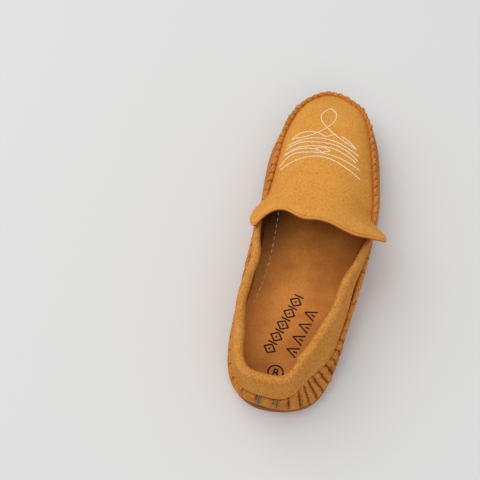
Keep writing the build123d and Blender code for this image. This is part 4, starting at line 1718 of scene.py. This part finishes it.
@dataclass
class Embroidery(Piece):
    """The cream stitching on the toe, sewn in short stitches that follow the vamp."""

    vamp: Vamp
    radius: float = 0.44
    stitch: float = 2.7
    sides: int = 7
    steps_per_stitch: int = 10
    neighbours: int = 6
    surface_back_y: float = 35.0
    bury: float = 0.12
    arch_height: float = 0.30
    thinnest: float = 0.72
    paths: dict[Motif, list[Points]] = field(default_factory=lambda: {
        Motif.LOOP: [
            [(-1, 84), (-5.6, 89.5), (-7.3, 94.5), (-5.8, 99.8), (-1.4, 105.2)],
            [(-1.4, 105.2), (2.8, 101.6), (4.2, 96), (2.8, 90), (-1, 84)],
        ],
        Motif.WINGS: [
            [(-1, 84), (-6.5, 78.5), (-14.5, 72.5), (-25.5, 70)],
            [(-25.5, 70), (-20.5, 75), (-15.5, 77), (-6.5, 77.5)],
            [(-6.5, 77.5), (-1, 75), (4.5, 78)],
            [(-1, 84), (2.5, 80.5), (10.5, 75), (17.5, 71), (23, 69)],
            [(11, 77.5), (17, 74), (23.5, 68.5)],
        ],
        Motif.BANDS: [
            [(-27.5, 64), (-19, 68), (-9.5, 71.5), (-1.5, 72.5), (6.5, 71.5), (15, 68), (26, 63)],
            [(-28, 60.5), (-21.5, 64.5), (-8.5, 67.5), (2, 68.5), (10, 67), (18.5, 63), (26, 58)],
            [(-27.5, 55.5), (-20.5, 60), (-13, 62.5), (-1, 64.5), (8, 63.5), (16, 60), (25, 55.5)],
            [(-29, 56), (-23, 58), (-15.5, 60), (-6.5, 60.5)],
            [(-30.5, 45.5), (-24.5, 53), (-12, 56.5), (-1, 57.8), (14.5, 54.5), (28.5, 50)],
            [(-29.5, 42), (-21, 47), (-14, 50.5), (-3, 54), (9.5, 51.5), (18, 47.5), (30, 42)],
            [(-6.5, 61), (-1, 64)], [(-1, 64), (5, 61)], [(5, 61), (-1, 58.5)], [(-1, 58.5), (-6.5, 61)],
        ],
    })
    thread: Thread = Thread("cream_embroidery", srgb(255, 248, 228), srgb(226, 208, 168), 700.0, 0.4)

    def surface(self) -> tuple[np.ndarray, np.ndarray]:
        """The vamp's upper points in the plan and their heights, for looking heights up."""
        top, _, _ = self.vamp.top()
        flat = top.reshape(-1, 3)
        near = flat[flat[:, 1] > self.surface_back_y]
        return near[:, :2], near[:, 2]

    def build(self, motif: Motif) -> bpy.types.Object:
        """Makes one figure of the embroidery.

        Args:
            motif: Which figure.

        Returns:
            The piece.
        """
        where, height = self.surface()
        builder = MeshBuilder(self.last)
        for points in self.paths[motif]:
            path = SmoothPath(points)
            count = max(2, round(path.length / self.stitch))
            share = np.linspace(0, 1, count * self.steps_per_stitch + 1)
            plan = path.at(share)
            gap = np.linalg.norm(plan[:, None] - where[None], axis=2)
            near = np.argpartition(gap, self.neighbours, axis=1)[:, :self.neighbours]
            weight = 1 / (np.take_along_axis(gap, near, axis=1) + 0.05) ** 2
            z = (height[near] * weight).sum(axis=1) / weight.sum(axis=1)
            arch = np.abs(np.sin(math.pi * share * count)) ** 0.5
            line = np.column_stack([plan, z - self.bury + self.arch_height * arch])
            radius = self.radius * (self.thinnest + (1 - self.thinnest) * arch)
            builder.tube(thread_rings(line, radius, self.sides))
        piece = builder.finish(motif.value + "_stitching")
        return self.dress(piece, self.thread, "cream_thread", motif.value)


@dataclass
class FrameParts:
    """The frame's own parts that stay: the sole and the insole board."""

    shop: Workshop
    rubber: Grained = Grained("crepe_rubber", srgb(168, 98, 56), srgb(128, 68, 36), 0.62, 1200.0, 0.5, 0.35)
    board: Grained = Grained("pressed_board", srgb(168, 142, 104), srgb(128, 102, 70), 0.85, 500.0, 0.6, 0.5)

    def dress(self) -> list[str]:
        """Gives each part its finish.

        Returns:
            The names of the parts.
        """
        finishes = {"outsole": self.rubber, "insole_board": self.board}
        for name, finish in finishes.items():
            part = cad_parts[name]
            part.data.materials.clear()
            part.data.materials.append(finish.material(self.shop))
        return list(finishes)


@dataclass(frozen=True)
class SoftBox:
    """A square soft light: where it hangs and its side in metres, its watts and its tint."""

    name: str
    place: tuple[float, float, float]
    size: float
    watts: float
    tint: tuple[float, float, float]


@dataclass
class Studio:
    """A pale floor, soft light from the upper left, and the camera."""

    last: Last
    camera_at: tuple[float, float, float] = (22.1, -361.0, 753.2)
    look_at: tuple[float, float, float] = (-51.1, -1.0, 0.0)
    lens: float = 82.5
    sensor: float = 36.0
    floor_size: float = 6.0
    floor: Colour = srgb(221, 221, 221)
    boxes: tuple[SoftBox, ...] = (
        SoftBox("key_softbox", (-0.95, 0.38, 1.6), 1.9, 20.0, (1.0, 0.99, 0.965)),
        SoftBox("front_softbox", (0.35, -1.25, 1.5), 1.5, 6.5, (1.0, 0.995, 0.985)),
    )
    sky: Colour = (0.97, 0.985, 1.0, 1.0)
    sky_strength: float = 0.56

    def lay_floor(self) -> None:
        """Lays the floor under the sole."""
        low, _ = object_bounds()
        half = self.floor_size / 2
        mesh = bpy.data.meshes.new("floor")
        around = ((-half, -half), (half, -half), (half, half), (-half, half))
        mesh.from_pydata([(x, y, low[2]) for x, y in around], [], [(0, 1, 2, 3)])
        floor = bpy.data.objects.new("floor", mesh)
        bpy.context.scene.collection.objects.link(floor)
        paint = bpy.data.materials.new("pale_floor")
        paint.use_nodes = True
        shader = paint.node_tree.nodes["Principled BSDF"]
        shader.inputs["Base Color"].default_value = self.floor
        shader.inputs["Roughness"].default_value = 0.75
        shader.inputs["Specular IOR Level"].default_value = 0.15
        mesh.materials.append(paint)
        floor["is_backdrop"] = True

    @staticmethod
    def hang(box: SoftBox) -> None:
        """Hangs a soft box that faces the shoe."""
        lamp = bpy.data.lights.new(box.name, "AREA")
        lamp.size = box.size
        lamp.energy = box.watts
        lamp.color = box.tint
        light = bpy.data.objects.new(box.name, lamp)
        light.location = box.place
        light.rotation_euler = (-Vector(box.place)).to_track_quat("-Z", "Y").to_euler()
        bpy.context.scene.collection.objects.link(light)

    def set_camera(self) -> None:
        """Stands the camera and aims it."""
        data = bpy.data.cameras.new("camera")
        data.lens = self.lens
        data.sensor_width = self.sensor
        data.clip_start = 0.01
        camera = bpy.data.objects.new("camera", data)
        spot = Vector(self.last.place(self.camera_at))
        aim = Vector(self.last.place(self.look_at))
        camera.location = spot
        camera.rotation_euler = (aim - spot).to_track_quat("-Z", "Y").to_euler()
        bpy.context.scene.collection.objects.link(camera)
        bpy.context.scene.camera = camera

    def build(self) -> None:
        """Sets up the floor, the lights, the sky and the camera."""
        self.lay_floor()
        for box in self.boxes:
            self.hang(box)
        world = bpy.data.worlds.new("studio_air")
        world.use_nodes = True
        sky = world.node_tree.nodes["Background"]
        sky.inputs["Color"].default_value = self.sky
        sky.inputs["Strength"].default_value = self.sky_strength
        bpy.context.scene.world = world
        bpy.context.scene.view_settings.view_transform = "Standard"
        self.set_camera()


def report(piece: bpy.types.Object) -> None:
    """Logs one finished piece."""
    LOG.info("%s: %d faces", piece.name, len(piece.data.polygons))


def main() -> None:
    """Builds the shoe from the sole up, then the studio, and logs each piece's faces."""
    logging.basicConfig(level=logging.INFO, format="%(name)s: %(message)s")
    last = Last()
    gathers = Gathers(last)
    shop = Workshop()
    kit = (last, gathers, shop)
    for name in FrameParts(shop).dress():
        LOG.info("%s: dressed", name)
    report(Wrap(*kit).build())
    footbed = Footbed(*kit)
    report(footbed.build_cushion())
    report(footbed.build_sock())
    report(footbed.build_stitches())
    report(footbed.build_stamp())
    quarter = Quarter(*kit)
    report(quarter.build_foam())
    report(quarter.build_counter())
    report(quarter.build_lining())
    report(quarter.build_band())
    vamp = Vamp(*kit)
    report(vamp.build())
    stitching = Stitching(*kit)
    for seam in Seam:
        report(stitching.build_seam(seam))
    report(stitching.build_tacks())
    embroidery = Embroidery(*kit, vamp)
    for motif in Motif:
        report(embroidery.build(motif))
    Studio(last).build()


if __name__ == "__main__":
    main()
